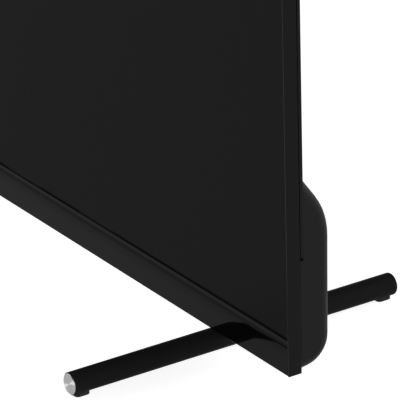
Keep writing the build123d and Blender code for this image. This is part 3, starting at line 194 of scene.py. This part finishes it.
# Top frame: the same extrusion laid across, so its lines run across
anodised_top = finish(
    "anodised_top", "#0e0e0e", "#111111", mottle=3.0, grain=0.5, depth=0.002, rough=(0.3, 0.36),
    drawn=(0.02, 1, 1), **SATIN_SHEEN,
)
# Rear panel: steel sheet with a baked powder coat, which has a fine orange peel
powder_coat = finish(
    "powder_coat", "#141415", "#19191a", mottle=5.0, grain=1.2, depth=0.02, rough=(0.45, 0.55),
    **SATIN_SHEEN,
)
# Rear cover: polystyrene moulded in a spark eroded tool, an even matt grain with a soft sheen
spark_polystyrene = finish(
    "spark_polystyrene", "#1d1d1d", "#212121", mottle=4.0, grain=0.9, depth=0.02, rough=(0.45, 0.55),
    **SATIN_SHEEN,
)
# Foot bars: steel tube with a black paint that dries to a soft, even satin with a faint orange peel
satin_paint = finish(
    "satin_paint", "#232323", "#272727", mottle=20.0, grain=1.8, depth=0.002, rough=(0.42, 0.5),
    **PAINT_SHEEN,
)
# Pads and speaker surrounds: moulded rubber, dull and faintly dusty
moulded_rubber = finish(
    "moulded_rubber", "#131313", "#191918", mottle=3.0, grain=0.5, depth=0.01, rough=(0.6, 0.7),
    **RUBBER_SHEEN,
)
# Posts, brackets, nuts and inner screws: steel with a bright zinc plate, faintly cloudy
zinc_plate = finish(
    "zinc_plate", "#9a9c9e", "#b2b4b6", mottle=4.0, grain=0.4, depth=0.003, rough=(0.3, 0.42), Metallic=1.0
)
# Cover and foot screws: steel with a black oxide, dark and slightly oily
black_oxide = finish(
    "black_oxide", "#232324", "#2e2e30", mottle=2.0, grain=0.4, depth=0.003, rough=(0.3, 0.4), Metallic=1.0
)
# Chassis, spreader, light bar and heat sink: rolled aluminium sheet, left bare, with its rolling lines
mill_aluminium = finish(
    "mill_aluminium", "#a8aaad", "#bdbfc1", mottle=6.0, grain=0.8, depth=0.003, rough=(0.32, 0.42),
    drawn=(0.04, 1, 1), Metallic=1.0,
)
# Shells of the sockets: brass sheet with a nickel plate, which gives a warm, nearly polished white
nickel_shell = finish(
    "nickel_shell", "#b4b1aa", "#c6c3bc", mottle=4.0, grain=0.4, depth=0.001, rough=(0.2, 0.3), Metallic=1.0
)
# Contacts: bronze with a thin gold plate, warm and bright
gold_plate = finish(
    "gold_plate", "#d8a845", "#e6bd62", mottle=2.0, grain=0.3, depth=0.001, rough=(0.18, 0.26), Metallic=1.0
)
# Bodies of plugs, sockets and the key: moulded nylon, semi matt
black_nylon = finish(
    "black_nylon", "#101010", "#141414", mottle=3.0, grain=0.5, depth=0.008, rough=(0.42, 0.52),
    **PLASTIC_SHEEN,
)
# Boards: glass epoxy under a green solder mask, glossy over a faint unevenness from the glass below
solder_mask = finish(
    "solder_mask", "#0f3a20", "#16502c", mottle=5.0, grain=1.0, depth=0.01, rough=(0.25, 0.35),
    **PLASTIC_SHEEN,
)
# Light guide and lens films: cast acrylic with polished faces, pale and bright
optical_acrylic = finish(
    "optical_acrylic", "#e4e7e8", "#eceeef", mottle=30.0, grain=1.0, depth=0.001, rough=(0.06, 0.1), IOR=1.49
)
# Reflector and diode packages: foamed white polyester, an even dull white
white_polyester = finish(
    "white_polyester", "#e6e6e4", "#eeeeec", mottle=20.0, grain=0.8, depth=0.002, rough=(0.5, 0.6)
)
# Cables to the panel: copper on polyimide under a black cover film, flat and dull
cover_film = finish(
    "cover_film", "#070707", "#0a0a0a", mottle=10.0, grain=0.8, depth=0.001, rough=(0.4, 0.5), **MATT_SHEEN
)
# Speaker cones: pressed black paper with its fibres showing
pressed_paper = finish(
    "pressed_paper", "#161616", "#232322", mottle=1.5, grain=0.35, depth=0.03, rough=(0.75, 0.85),
    **PAPER_SHEEN,
)
# Magnets: sintered ferrite, ground and slightly grainy
ferrite = finish(
    "ferrite", "#2a2a2b", "#39393a", mottle=2.0, grain=0.4, depth=0.02, rough=(0.5, 0.6), **PLASTIC_SHEEN
)
# Transformer and capacitors: black epoxy and plastic sleeves, smooth with a mild gloss
component_epoxy = finish(
    "component_epoxy", "#151515", "#202020", mottle=4.0, grain=0.6, depth=0.005, rough=(0.3, 0.45),
    **PLASTIC_SHEEN,
)
# Remote receiver lens: dark red polycarbonate, polished, almost black until lit
infrared_lens = finish(
    "infrared_lens", "#140406", "#1b0608", mottle=10.0, grain=1.0, depth=0.0004, rough=(0.06, 0.1),
    **GLOSS_SHEEN,
)

# Front caps of the feet: aluminium faced on a lathe, so its rings throw two bright wedges of reflection
# across it, which are also painted into its colour as a painted highlight, since the studio is too even to
# raise them. Real tool marks are a tenth of a millimetre apart and the cap's rings are four times as wide, so
# that they show. Its gloss and a faint waviness change more slowly, by one radian a ring: the wave texture
# runs 20 radians a unit, hence its share.
CAP_RING = 0.4
GLOSS_WAVE = 0.05
GLOSS_WANDER = 0.3
CLOUD_SIZE = 3
RING_BUMP = 0.002
PAINTED_HIGHLIGHT_PAIR = 4 * math.pi
PAINTED_HIGHLIGHT_TURN = math.radians(60)
PAINTED_HIGHLIGHT_EDGE = 0.8
turned_aluminium = blank("turned_aluminium")
tree = turned_aluminium.node_tree
place = add(tree, "ShaderNodeTexCoord").outputs["Object"]
rings = add(
    tree,
    "ShaderNodeTexWave",
    {
        "wave_type": "RINGS",
        "rings_direction": "Y",
        "Scale": 1 / (CAP_RING * MM) * GLOSS_WAVE,
        "Distortion": GLOSS_WANDER,
    },
    {"Vector": place},
)
cloud = add(
    tree, "ShaderNodeTexNoise", {"Scale": 1 / (CLOUD_SIZE * MM), "Detail": FINE_DETAIL}, {"Vector": place}
)
face = add(
    tree,
    "ShaderNodeMix",
    {"data_type": "RGBA", 6: shade("#9c9c9e"), 7: shade("#aaaaac")},
    {0: cloud.outputs["Fac"]},
)
# Painted highlight: two bright wedges of reflection, set by the angle round the cap's axis
flat = add(tree, "ShaderNodeMapping", {"Rotation": (math.pi / 2, 0, 0)}, {"Vector": place})
sweep = add(tree, "ShaderNodeTexGradient", {"gradient_type": "RADIAL"}, {"Vector": flat.outputs["Vector"]})
angle = add(
    tree,
    "ShaderNodeMath",
    {"operation": "MULTIPLY_ADD", 1: PAINTED_HIGHLIGHT_PAIR, 2: PAINTED_HIGHLIGHT_TURN},
    {0: sweep.outputs["Fac"]},
)
wave = add(tree, "ShaderNodeMath", {"operation": "COSINE"}, {0: angle.outputs[0]})
painted_highlight = add(
    tree,
    "ShaderNodeMapRange",
    {"interpolation_type": "SMOOTHSTEP", "From Min": PAINTED_HIGHLIGHT_EDGE, "From Max": 1.0},
    {"Value": wave.outputs[0]},
)
# Painted highlight: the wedges lay a pale grey over the face's colour
colour = add(
    tree,
    "ShaderNodeMix",
    {"data_type": "RGBA", 7: shade("#d6d6d6")},
    {0: painted_highlight.outputs["Result"], 6: face.outputs[2]},
)
gloss = add(tree, "ShaderNodeMapRange", {"To Min": 0.3, "To Max": 0.36}, {"Value": rings.outputs["Fac"]})
bump = add(tree, "ShaderNodeBump", {"Distance": RING_BUMP * MM}, {"Height": rings.outputs["Fac"]})
around = add(tree, "ShaderNodeTangent", {"direction_type": "RADIAL", "axis": "Y"})
skin = add(
    tree,
    "ShaderNodeBsdfPrincipled",
    {"Metallic": 1.0, "Anisotropic": 0.8},
    {
        "Base Color": colour.outputs[2],
        "Roughness": gloss.outputs["Result"],
        "Normal": bump.outputs["Normal"],
        "Tangent": around.outputs["Tangent"],
    },
)
add(tree, "ShaderNodeOutputMaterial", {}, {"Surface": skin.outputs["BSDF"]})

NODE_FINISH = {
    antiglare_film: ["screen_glass"],
    frame_polycarbonate: ["middle_frame"],
    polished_abs: ["bottom_bezel"],
    anodised_side: ["side_frame_left", "side_frame_right"],
    anodised_top: ["top_frame"],
    powder_coat: ["rear_panel"],
    spark_polystyrene: ["rear_cover"],
    satin_paint: ["foot_tube_left", "foot_tube_right", "foot_saddles"],
    turned_aluminium: ["foot_front_caps"],
    moulded_rubber: ["foot_pads", "speaker_surround_left", "speaker_surround_right"],
    zinc_plate: [
        "corner_brackets", "frame_screws", "board_posts", "board_screws", "wall_mount_nuts", "stand_brackets",
        "speaker_frames",
    ],
    black_oxide: ["cover_screws", "foot_screws"],
    mill_aluminium: ["back_chassis", "led_bar", "led_heat_spreader", "processor_heat_sink"],
    nickel_shell: ["hdmi_sockets", "usb_sockets", "lan_socket", "tuner_socket"],
    black_nylon: [
        "audio_sockets", "mains_inlet", "board_link_cable", "speaker_boxes", "key_housing", "key_gimbal",
        "key_stick", "key_knob", "foot_rear_plugs",
    ],
    solder_mask: ["main_board", "power_board", "source_board", "receiver_board", "wireless_module"],
    optical_acrylic: ["prism_film", "diffuser_film", "light_guide_plate"],
    white_polyester: ["reflector_film", "led_packages"],
    cover_film: ["panel_ribbons", "display_cable"],
    pressed_paper: ["speaker_cone_left", "speaker_cone_right"],
    ferrite: ["speaker_magnets"],
    component_epoxy: ["power_transformer", "power_capacitors"],
    infrared_lens: ["receiver_window"],
}
for material, names in NODE_FINISH.items():
    for name in names:
        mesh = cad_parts[name].data
        mesh.materials.clear()
        mesh.materials.append(material)


# Turned, bent and moulded pieces. Lengths are in mm: across the set, behind its front face, and above its
# bottom edge.

FACING = {
    "up": Matrix.Identity(4),
    "down": Matrix.Rotation(math.pi, 4, "X"),
    "back": Matrix.Rotation(-math.pi / 2, 4, "X"),
    "front": Matrix.Rotation(math.pi / 2, 4, "X"),
    "right": Matrix.Rotation(math.pi / 2, 4, "Y"),
    "left": Matrix.Rotation(-math.pi / 2, 4, "Y"),
}
SMOOTH_BELOW = math.radians(32)


def at(x, depth, height):
    """A point of the set in metres."""
    return Vector((x, depth + FRONT_FACE, height + SET_BOTTOM)) * MM


def stand(x, depth, height, facing):
    """The placing of a piece drawn in mm along its own Z axis, so that this axis faces that way."""
    return Matrix.Translation(at(x, depth, height)) @ FACING[facing] @ Matrix.Scale(MM, 4)


def turned(form, profile, segments):
    """Adds a turned shape to a form: the profile's points are a radius and a height, and its ends are closed
    where the radius is zero."""
    rings = []
    for radius, height in profile:
        count = segments if radius else 1
        angles = [2 * math.pi * i / count for i in range(count)]
        rings.append([form.verts.new((radius * math.cos(a), radius * math.sin(a), height)) for a in angles])
    for low, high in zip(rings, rings[1:]):
        for i in range(segments):
            j = i + 1
            corners = (low[i % len(low)], low[j % len(low)], high[j % len(high)], high[i % len(high)])
            form.faces.new(list(dict.fromkeys(corners)))
    return rings


def turned_at(form, profile, segments, placing):
    """Adds a turned shape to a form at one place."""
    before = len(form.verts)
    turned(form, profile, segments)
    form.verts.ensure_lookup_table()
    bmesh.ops.transform(form, matrix=placing, verts=form.verts[before:])


def threaded(turn, turns, pitch):
    """The profile of a thread: one turn's points, again for each turn."""
    return [(radius, height + i * pitch) for i in range(turns) for radius, height in turn]


def pattern(form, name):
    """A mesh of a form, to be set in many places."""
    bmesh.ops.recalc_face_normals(form, faces=form.faces)
    mesh = bpy.data.meshes.new(name)
    form.to_mesh(mesh)
    form.free()
    return mesh


def set_in(form, mesh, placing):
    """Adds a pattern to a form at one place."""
    before = len(form.verts)
    form.from_mesh(mesh)
    form.verts.ensure_lookup_table()
    bmesh.ops.transform(form, matrix=placing, verts=form.verts[before:])


def piece(name, form, material, body, stands_for=(), origin=None):
    """Makes a piece of a form, riding on a body."""
    mesh = pattern(form, name)
    if origin:
        mesh.transform(Matrix.Translation(-origin))
    mesh.shade_smooth()
    mesh.set_sharp_from_angle(angle=SMOOTH_BELOW)
    mesh.materials.append(material)
    made = bpy.data.objects.new(name, mesh)
    made.location = origin or (0, 0, 0)
    bpy.context.scene.collection.objects.link(made)
    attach(made, body)
    if stands_for:
        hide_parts(*stands_for)
    return made


# Front caps of the feet: a disc with a chamfered edge, faced with fine rings, on a spigot in the tube

FOOT_X = 384.8
FOOT_HEIGHT = -10.0
CAP_FACE = -112.0
CAP_RADIUS = 7.3
CAP_CHAMFER = 0.35
CHAMFER_SLOPE = 0.85
CAP_THICK = 2.0
CAP_BREAK = 0.1
SPIGOT_RADIUS = 5.92
SPIGOT_CHAMFER = 0.5
SPIGOT_END = 11.0
RING_DEPTH = 0.008
CAP_SEGMENTS = 96
cap_profile = [
    (0, -SPIGOT_END),
    (SPIGOT_RADIUS - SPIGOT_CHAMFER, -SPIGOT_END),
    (SPIGOT_RADIUS, -SPIGOT_END + SPIGOT_CHAMFER),
    (SPIGOT_RADIUS, -CAP_THICK),
    (CAP_RADIUS - CAP_BREAK, -CAP_THICK),
    (CAP_RADIUS, -CAP_THICK + CAP_BREAK),
    (CAP_RADIUS, -CAP_CHAMFER),
    (CAP_RADIUS - CAP_CHAMFER * CHAMFER_SLOPE, 0),
]
ring_count = int((CAP_RADIUS - 2 * CAP_CHAMFER) / (CAP_RING / 2))
for i in range(1, ring_count):
    cap_profile.append((CAP_RADIUS - CAP_CHAMFER - i * CAP_RING / 2, -RING_DEPTH * (i % 2)))
cap_profile.append((0, 0))
for label, x in (("left", -FOOT_X), ("right", FOOT_X)):
    form = bmesh.new()
    turned_at(form, cap_profile, CAP_SEGMENTS, stand(x, CAP_FACE, FOOT_HEIGHT, "front"))
    stands_for = ["foot_front_caps"] if x > 0 else []
    middle = at(x, CAP_FACE, FOOT_HEIGHT)
    piece("turned_cap_" + label, form, turned_aluminium, "set", stands_for, middle)


# Screws with cross recesses in place of the plain ones. Of a pan head screw: the thread's root and the tip as
# shares of the shank's radius, the thread's flank and crest as shares of its pitch, and the head's side and
# its recess as shares of the head's radius and height.

SCREW_SEGMENTS = 24
THREAD_ROOT = 0.8
TIP_RADIUS = 0.5
TIP_LONG = 0.7
THREAD_FLANK = 0.4
THREAD_CREST = 0.5
THREAD_END = 0.2
HEAD_SEAT = 0.96
HEAD_SIDE = ((1.0, 0.15), (1.0, 0.45), (0.95, 0.7), (0.84, 0.88), (0.66, 1.0))
CROSS_REACH = 0.5
CROSS_HALF = 0.13
CROSS_TAPER = 0.72
CROSS_FLOOR = 0.35


def screw(name, head_radius, head_height, shank_radius, shank_long, pitch):
    """A pan head screw with a cross recess and a rolled thread, its head's seat at zero and facing up."""
    form = bmesh.new()
    root = shank_radius * THREAD_ROOT
    turns = int((shank_long - shank_radius) / pitch)
    profile = [(0, -shank_long), (root * TIP_RADIUS, -shank_long)]
    profile += [(root, -shank_long + shank_radius * TIP_LONG)]
    for i in range(turns):
        low = -shank_long + shank_radius + i * pitch
        profile += [(root, low), (shank_radius, low + pitch * THREAD_FLANK)]
        profile += [(shank_radius, low + pitch * THREAD_CREST)]
    profile += [(root, -THREAD_END), (shank_radius, 0), (head_radius * HEAD_SEAT, 0)]
    profile += [(head_radius * r, head_height * h) for r, h in HEAD_SIDE]
    rim = turned(form, profile, SCREW_SEGMENTS)[-1]
    reach = head_radius * CROSS_REACH
    half = head_radius * CROSS_HALF
    quarter = [(reach, -half), (reach, half), (half, half)]
    cross = []
    for c, s in ((1, 0), (0, 1), (-1, 0), (0, -1)):
        cross += [(x * c - y * s, x * s + y * c) for x, y in quarter]
    top = [form.verts.new((x, y, head_height)) for x, y in cross]
    bed = [form.verts.new((x * CROSS_TAPER, y * CROSS_TAPER, head_height * CROSS_FLOOR)) for x, y in cross]
    edges = [form.edges.new((a, b)) for a, b in zip(top, top[1:] + top[:1])]
    rim_edges = [form.edges.get((a, b)) for a, b in zip(rim, rim[1:] + rim[:1])]
    bmesh.ops.triangle_fill(form, use_beauty=True, use_dissolve=False, edges=edges + rim_edges)
    for i in range(len(top)):
        j = (i + 1) % len(top)
        form.faces.new((top[i], top[j], bed[j], bed[i]))
    form.faces.new(bed)
    return pattern(form, name)


def screws(name, material, places, stands_for):
    """A set of screws in one piece: each place is a pattern and where its head's seat is."""
    form = bmesh.new()
    for mesh, x, depth, height, facing in places:
        set_in(form, mesh, stand(x, depth, height, facing))
    return piece(name, form, material, "set", stands_for)


COVER_SCREW_SEAT = 14.1
COVER_SCREW_PLACES = ((150, 332), (215, 84), (460, 62))
cover_screw = screw(
    "cover_screw", head_radius=3.0, head_height=2.2, shank_radius=1.5, shank_long=6.0, pitch=1.1
)
screws(
    "cross_cover_screws",
    black_oxide,
    [
        (cover_screw, side * x, COVER_SCREW_SEAT, height, "back")
        for side in (-1, 1)
        for x, height in COVER_SCREW_PLACES
    ],
    ["cover_screws"],
)

TUBE_SCREW_SEAT = -5.0
TUBE_SCREW_DEPTHS = (15.2, 21.8)
POST_SCREW_SEAT = 23.8
POST_SCREW_HEIGHTS = (44, 57)
tube_screw = screw(
    "tube_screw", head_radius=3.0, head_height=2.0, shank_radius=1.9, shank_long=16.7, pitch=0.9
)
post_screw = screw(
    "post_screw", head_radius=3.6, head_height=2.4, shank_radius=1.9, shank_long=15.4, pitch=0.9
)
screws(
    "cross_foot_screws",
    black_oxide,
    [
        (tube_screw, x, depth, TUBE_SCREW_SEAT, "down")
        for x in (-FOOT_X, FOOT_X)
        for depth in TUBE_SCREW_DEPTHS
    ]
    + [
        (post_screw, x, POST_SCREW_SEAT, height, "back")
        for x in (-FOOT_X, FOOT_X)
        for height in POST_SCREW_HEIGHTS
    ],
    ["foot_screws"],
)

BOARD_SCREW_SEAT = 17.6
BOARD_SCREW_X = (-183.3, -30, 30, 155.3)
BOARD_SCREW_HEIGHTS = (146, 302)
board_screw = screw(
    "board_screw", head_radius=3.0, head_height=1.8, shank_radius=1.5, shank_long=5.6, pitch=0.8
)
screws(
    "cross_board_screws",
    zinc_plate,
    [
        (board_screw, x, BOARD_SCREW_SEAT, height, "back")
        for x in BOARD_SCREW_X
        for height in BOARD_SCREW_HEIGHTS
    ],
    ["board_screws"],
)


# Speaker surrounds: a half roll of rubber hanging in the slot round the cone, with a lip glued to the cone.
# Halves are half the length and half the width of a long ring with round ends.

SPEAKER_X = 280.0
SPEAKER_DEPTH = 20.4
ROLL_HALVES = (31.95, 3.35)
SLOT_HALVES = (34.0, 4.9)
ROLL_TOP = 21.5
ROLL_DROP = 0.72
ROLL_SIDE = 0.12
ROLL_STEPS = 10
RUBBER = 0.22
LIP_INNER_HALVES = (30.6, 2.0)
LIP_OUTER_HALVES = (31.7, 3.1)
LIP_SECTION = ((0.0, 21.58), (0.0, 21.36), (0.3, 21.3), (1.0, 21.3), (1.0, 21.58))
ROUND_STEPS = 12
MIDWAY = 0.5


def long_ring(half_long, half_wide):
    """Points round a long shape with round ends."""
    centre = half_long - half_wide
    points = []
    for side in (1, -1):
        for i in range(ROUND_STEPS + 1):
            a = math.pi * (i / ROUND_STEPS - MIDWAY)
            points.append((side * (centre + half_wide * math.cos(a)), side * half_wide * math.sin(a)))
    return points


def ring_sheet(form, section, x, inner, outer):
    """Adds a closed strip round the slot: the section's points are a share from the inner to the outer ring
    and a height."""
    near, far = long_ring(*inner), long_ring(*outer)
    loops = []
    for share, height in section:
        places = [
            at(x + a[0] + (b[0] - a[0]) * share, SPEAKER_DEPTH + a[1] + (b[1] - a[1]) * share, height)
            for a, b in zip(near, far)
        ]
        loops.append([form.verts.new(place) for place in places])
    for low, high in zip(loops, loops[1:] + loops[:1]):
        for i in range(len(low)):
            j = (i + 1) % len(low)
            form.faces.new((low[i], low[j], high[j], high[i]))


roll_arcs = []
for drop, edge in ((ROLL_DROP, 0.0), (ROLL_DROP - RUBBER, ROLL_SIDE)):
    angles = [math.pi * i / ROLL_STEPS for i in range(ROLL_STEPS + 1)]
    roll_arcs.append(
        [(MIDWAY - (MIDWAY - edge) * math.cos(a), ROLL_TOP - drop * math.sin(a)) for a in angles]
    )
roll_section = roll_arcs[0] + roll_arcs[1][::-1]
for label, x in (("left", -SPEAKER_X), ("right", SPEAKER_X)):
    form = bmesh.new()
    ring_sheet(form, roll_section, x, ROLL_HALVES, SLOT_HALVES)
    stands_for = ["speaker_surround_" + label]
    piece("surround_roll_" + label, form, moulded_rubber, "set", stands_for)
    form = bmesh.new()
    ring_sheet(form, LIP_SECTION, x, LIP_INNER_HALVES, LIP_OUTER_HALVES)
    piece("surround_lip_" + label, form, moulded_rubber, "speaker_cone_" + label)


# Contacts and threads of the sockets. Places are those of the middle of a row, and contacts are given by
# length, depth and height.

BAY_BOTTOM = 146.0
BAY_LONG = 172.0


def bay_height(share):
    """A height in the bay of sockets, as a share of its length."""
    return BAY_BOTTOM + BAY_LONG * share


def bar(form, size, middle, edge):
    """Adds a small bar with eased edges to a form."""
    verts = bmesh.ops.create_cube(form, size=1.0)["verts"]
    placing = Matrix.Translation(middle) @ Matrix.Diagonal((*(s * MM for s in size), 1))
    bmesh.ops.transform(form, matrix=placing, verts=verts)
    edges = list({e for v in verts for e in v.link_edges})
    bmesh.ops.bevel(form, geom=edges, offset=edge * MM, segments=2, profile=0.5, affect="EDGES")


def contacts(form, size, edge, place, count, step, shift=0.0):
    """Adds a row of contacts: step is from one to the next, and shift moves the row by a share of it."""
    for i in range(count):
        along = i - (count - 1) / 2 + shift
        bar(form, size, at(*(p + along * s for p, s in zip(place, step))), edge)


VIDEO_SHARES = (0.55, 0.67, 0.79)
VIDEO_X = 168.4
VIDEO_DEPTH = 20.4
VIDEO_ROW = 0.53
VIDEO_COUNT = 9
VIDEO_STEP = (0, 0, 1.0)
VIDEO_STAGGER = 0.25
VIDEO_CONTACT = (8.6, 0.1, 0.4)
VIDEO_EDGE = 0.03
form = bmesh.new()
for share in VIDEO_SHARES:
    for level in (-1, 1):
        place = (VIDEO_X, VIDEO_DEPTH + level * VIDEO_ROW, bay_height(share))
        contacts(form, VIDEO_CONTACT, VIDEO_EDGE, place, VIDEO_COUNT, VIDEO_STEP, level * VIDEO_STAGGER)
piece("hdmi_contacts", form, gold_plate, "set")

SERIAL_SHARES = (0.89, 0.965)
SERIAL_X = 167.6
SERIAL_DEPTH = 24.2
SERIAL_SINK = 0.05
SERIAL_COUNT = 4
SERIAL_STEP = (0, 2.3, 0)
SERIAL_CONTACT = (10.0, 1.1, 0.14)
SERIAL_EDGE = 0.04
form = bmesh.new()
for share in SERIAL_SHARES:
    place = (SERIAL_X, SERIAL_DEPTH, bay_height(share) - SERIAL_SINK)
    contacts(form, SERIAL_CONTACT, SERIAL_EDGE, place, SERIAL_COUNT, SERIAL_STEP)
piece("usb_contacts", form, gold_plate, "set")

NETWORK_PLACE = (169.0, 27.6, bay_height(0.42))
NETWORK_COUNT = 8
NETWORK_STEP = (0, 0, 1.02)
NETWORK_CONTACT = (8.0, 0.35, 0.35)
NETWORK_EDGE = 0.1
form = bmesh.new()
contacts(form, NETWORK_CONTACT, NETWORK_EDGE, NETWORK_PLACE, NETWORK_COUNT, NETWORK_STEP)
piece("network_contacts", form, gold_plate, "set")

AERIAL_PLACE = (176.4, 24.6, bay_height(0.09))
AERIAL_START = (4.6, 0.2)
AERIAL_TURN = ((4.86, 0.4), (5.12, 0.75), (5.12, 0.85), (4.86, 1.2))
AERIAL_TURNS = 11
AERIAL_PITCH = 0.9
AERIAL_END = (4.5, 10.3)
AERIAL_SEGMENTS = 48
profile = [AERIAL_START] + threaded(AERIAL_TURN, AERIAL_TURNS, AERIAL_PITCH) + [AERIAL_END]
form = bmesh.new()
turned_at(form, profile, AERIAL_SEGMENTS, stand(*AERIAL_PLACE, "right"))
piece("aerial_thread", form, nickel_shell, "set")

PIN_X = -200.7
PIN_DEPTH = 24.6
PIN_HEIGHT = 178
PIN_HALF_PITCH = 4.3
PIN_END = ((0, 0), (1.18, 0), (1.16, 0.35), (1.0, 0.75), (0.7, 1.03), (0.35, 1.17), (0, 1.2))
PIN_SEGMENTS = 24
form = bmesh.new()
for level in (-1, 1):
    placing = stand(PIN_X, PIN_DEPTH, PIN_HEIGHT + level * PIN_HALF_PITCH, "left")
    turned_at(form, PIN_END, PIN_SEGMENTS, placing)
piece("mains_pin_ends", form, nickel_shell, "set")

WALL_NUT_X = 100
WALL_NUT_HEIGHTS = (120, 320)
WALL_NUT_FACE = 34.6
WALL_TURN = ((3.0, 0.0), (2.55, 0.45), (2.55, 0.55))
WALL_TURNS = 18
WALL_PITCH = 1.0
WALL_END = (3.0, 18.0)
WALL_SEGMENTS = 32
profile = threaded(WALL_TURN, WALL_TURNS, WALL_PITCH) + [WALL_END]
form = bmesh.new()
for x in (-WALL_NUT_X, WALL_NUT_X):
    for height in WALL_NUT_HEIGHTS:
        turned_at(form, profile, WALL_SEGMENTS, stand(x, WALL_NUT_FACE, height, "back"))
piece("wall_mount_threads", form, zinc_plate, "set")


# Floor and light

FLOOR_HALF = 8.0
floor_mesh = bpy.data.meshes.new("floor")
floor_mesh.from_pydata(
    [(x * FLOOR_HALF, y * FLOOR_HALF, 0) for x, y in ((-1, -1), (1, -1), (1, 1), (-1, 1))],
    [],
    [(0, 1, 2, 3)],
)
floor = bpy.data.objects.new("floor", floor_mesh)
bpy.context.scene.collection.objects.link(floor)

# White paper sweep: seen directly or in gloss it is white and still takes the shadow
PAPER_GLOW = 0.85
PAPER_ROUGH = 0.9
WHITE = shade("#ffffff")
paper = blank("white_paper")
tree = paper.node_tree
path = add(tree, "ShaderNodeLightPath")
seen = add(
    tree,
    "ShaderNodeMath",
    {"operation": "MAXIMUM"},
    {0: path.outputs["Is Camera Ray"], 1: path.outputs["Is Glossy Ray"]},
)
seen = add(
    tree,
    "ShaderNodeMath",
    {"operation": "MAXIMUM"},
    {0: seen.outputs[0], 1: path.outputs["Is Transmission Ray"]},
)
glow = add(tree, "ShaderNodeMath", {"operation": "MULTIPLY", 1: PAPER_GLOW}, {0: seen.outputs[0]})
skin = add(
    tree,
    "ShaderNodeBsdfPrincipled",
    {
        "Base Color": shade("#dadada"),
        "Roughness": PAPER_ROUGH,
        "Specular IOR Level": 0.0,
        "Emission Color": WHITE,
    },
    {"Emission Strength": glow.outputs[0]},
)
add(tree, "ShaderNodeOutputMaterial", {}, {"Surface": skin.outputs["BSDF"]})
floor_mesh.materials.append(paper)

# Room: bright below and round the horizon, falling off to a dim ceiling
ROOM_BRIGHT = 1.5
ROOM_DIM = 0.15
FALL_FROM = 0.1
FALL_TO = 0.5
world = bpy.data.worlds.new("studio")
bpy.context.scene.world = world
world.use_nodes = True
tree = world.node_tree
tree.nodes.clear()
way = add(tree, "ShaderNodeTexCoord")
split = add(tree, "ShaderNodeSeparateXYZ", {}, {"Vector": way.outputs["Generated"]})
level = add(
    tree,
    "ShaderNodeMapRange",
    {
        "interpolation_type": "SMOOTHSTEP",
        "From Min": FALL_FROM,
        "From Max": FALL_TO,
        "To Min": ROOM_BRIGHT,
        "To Max": ROOM_DIM,
    },
    {"Value": split.outputs["Z"]},
)
sky = add(tree, "ShaderNodeBackground", {"Color": WHITE}, {"Strength": level.outputs["Result"]})
add(tree, "ShaderNodeOutputWorld", {}, {"Surface": sky.outputs["Background"]})


def lamp(name, place, target, size, power):
    """A square soft lamp aimed at a point."""
    light = bpy.data.lights.new(name, "AREA")
    light.shape = "SQUARE"
    light.size = size
    light.energy = power
    thing = bpy.data.objects.new(name, light)
    thing.location = place
    thing.rotation_euler = (Vector(target) - Vector(place)).to_track_quat("-Z", "Y").to_euler()
    bpy.context.scene.collection.objects.link(thing)


lamp("key_lamp", place=(-2.6, -1.7, 1.9), target=(0, 0, 0.2), size=2.2, power=34)
lamp("rear_lamp", place=(2.2, 2.2, 1.6), target=(0.45, 0, 0.15), size=1.2, power=20)
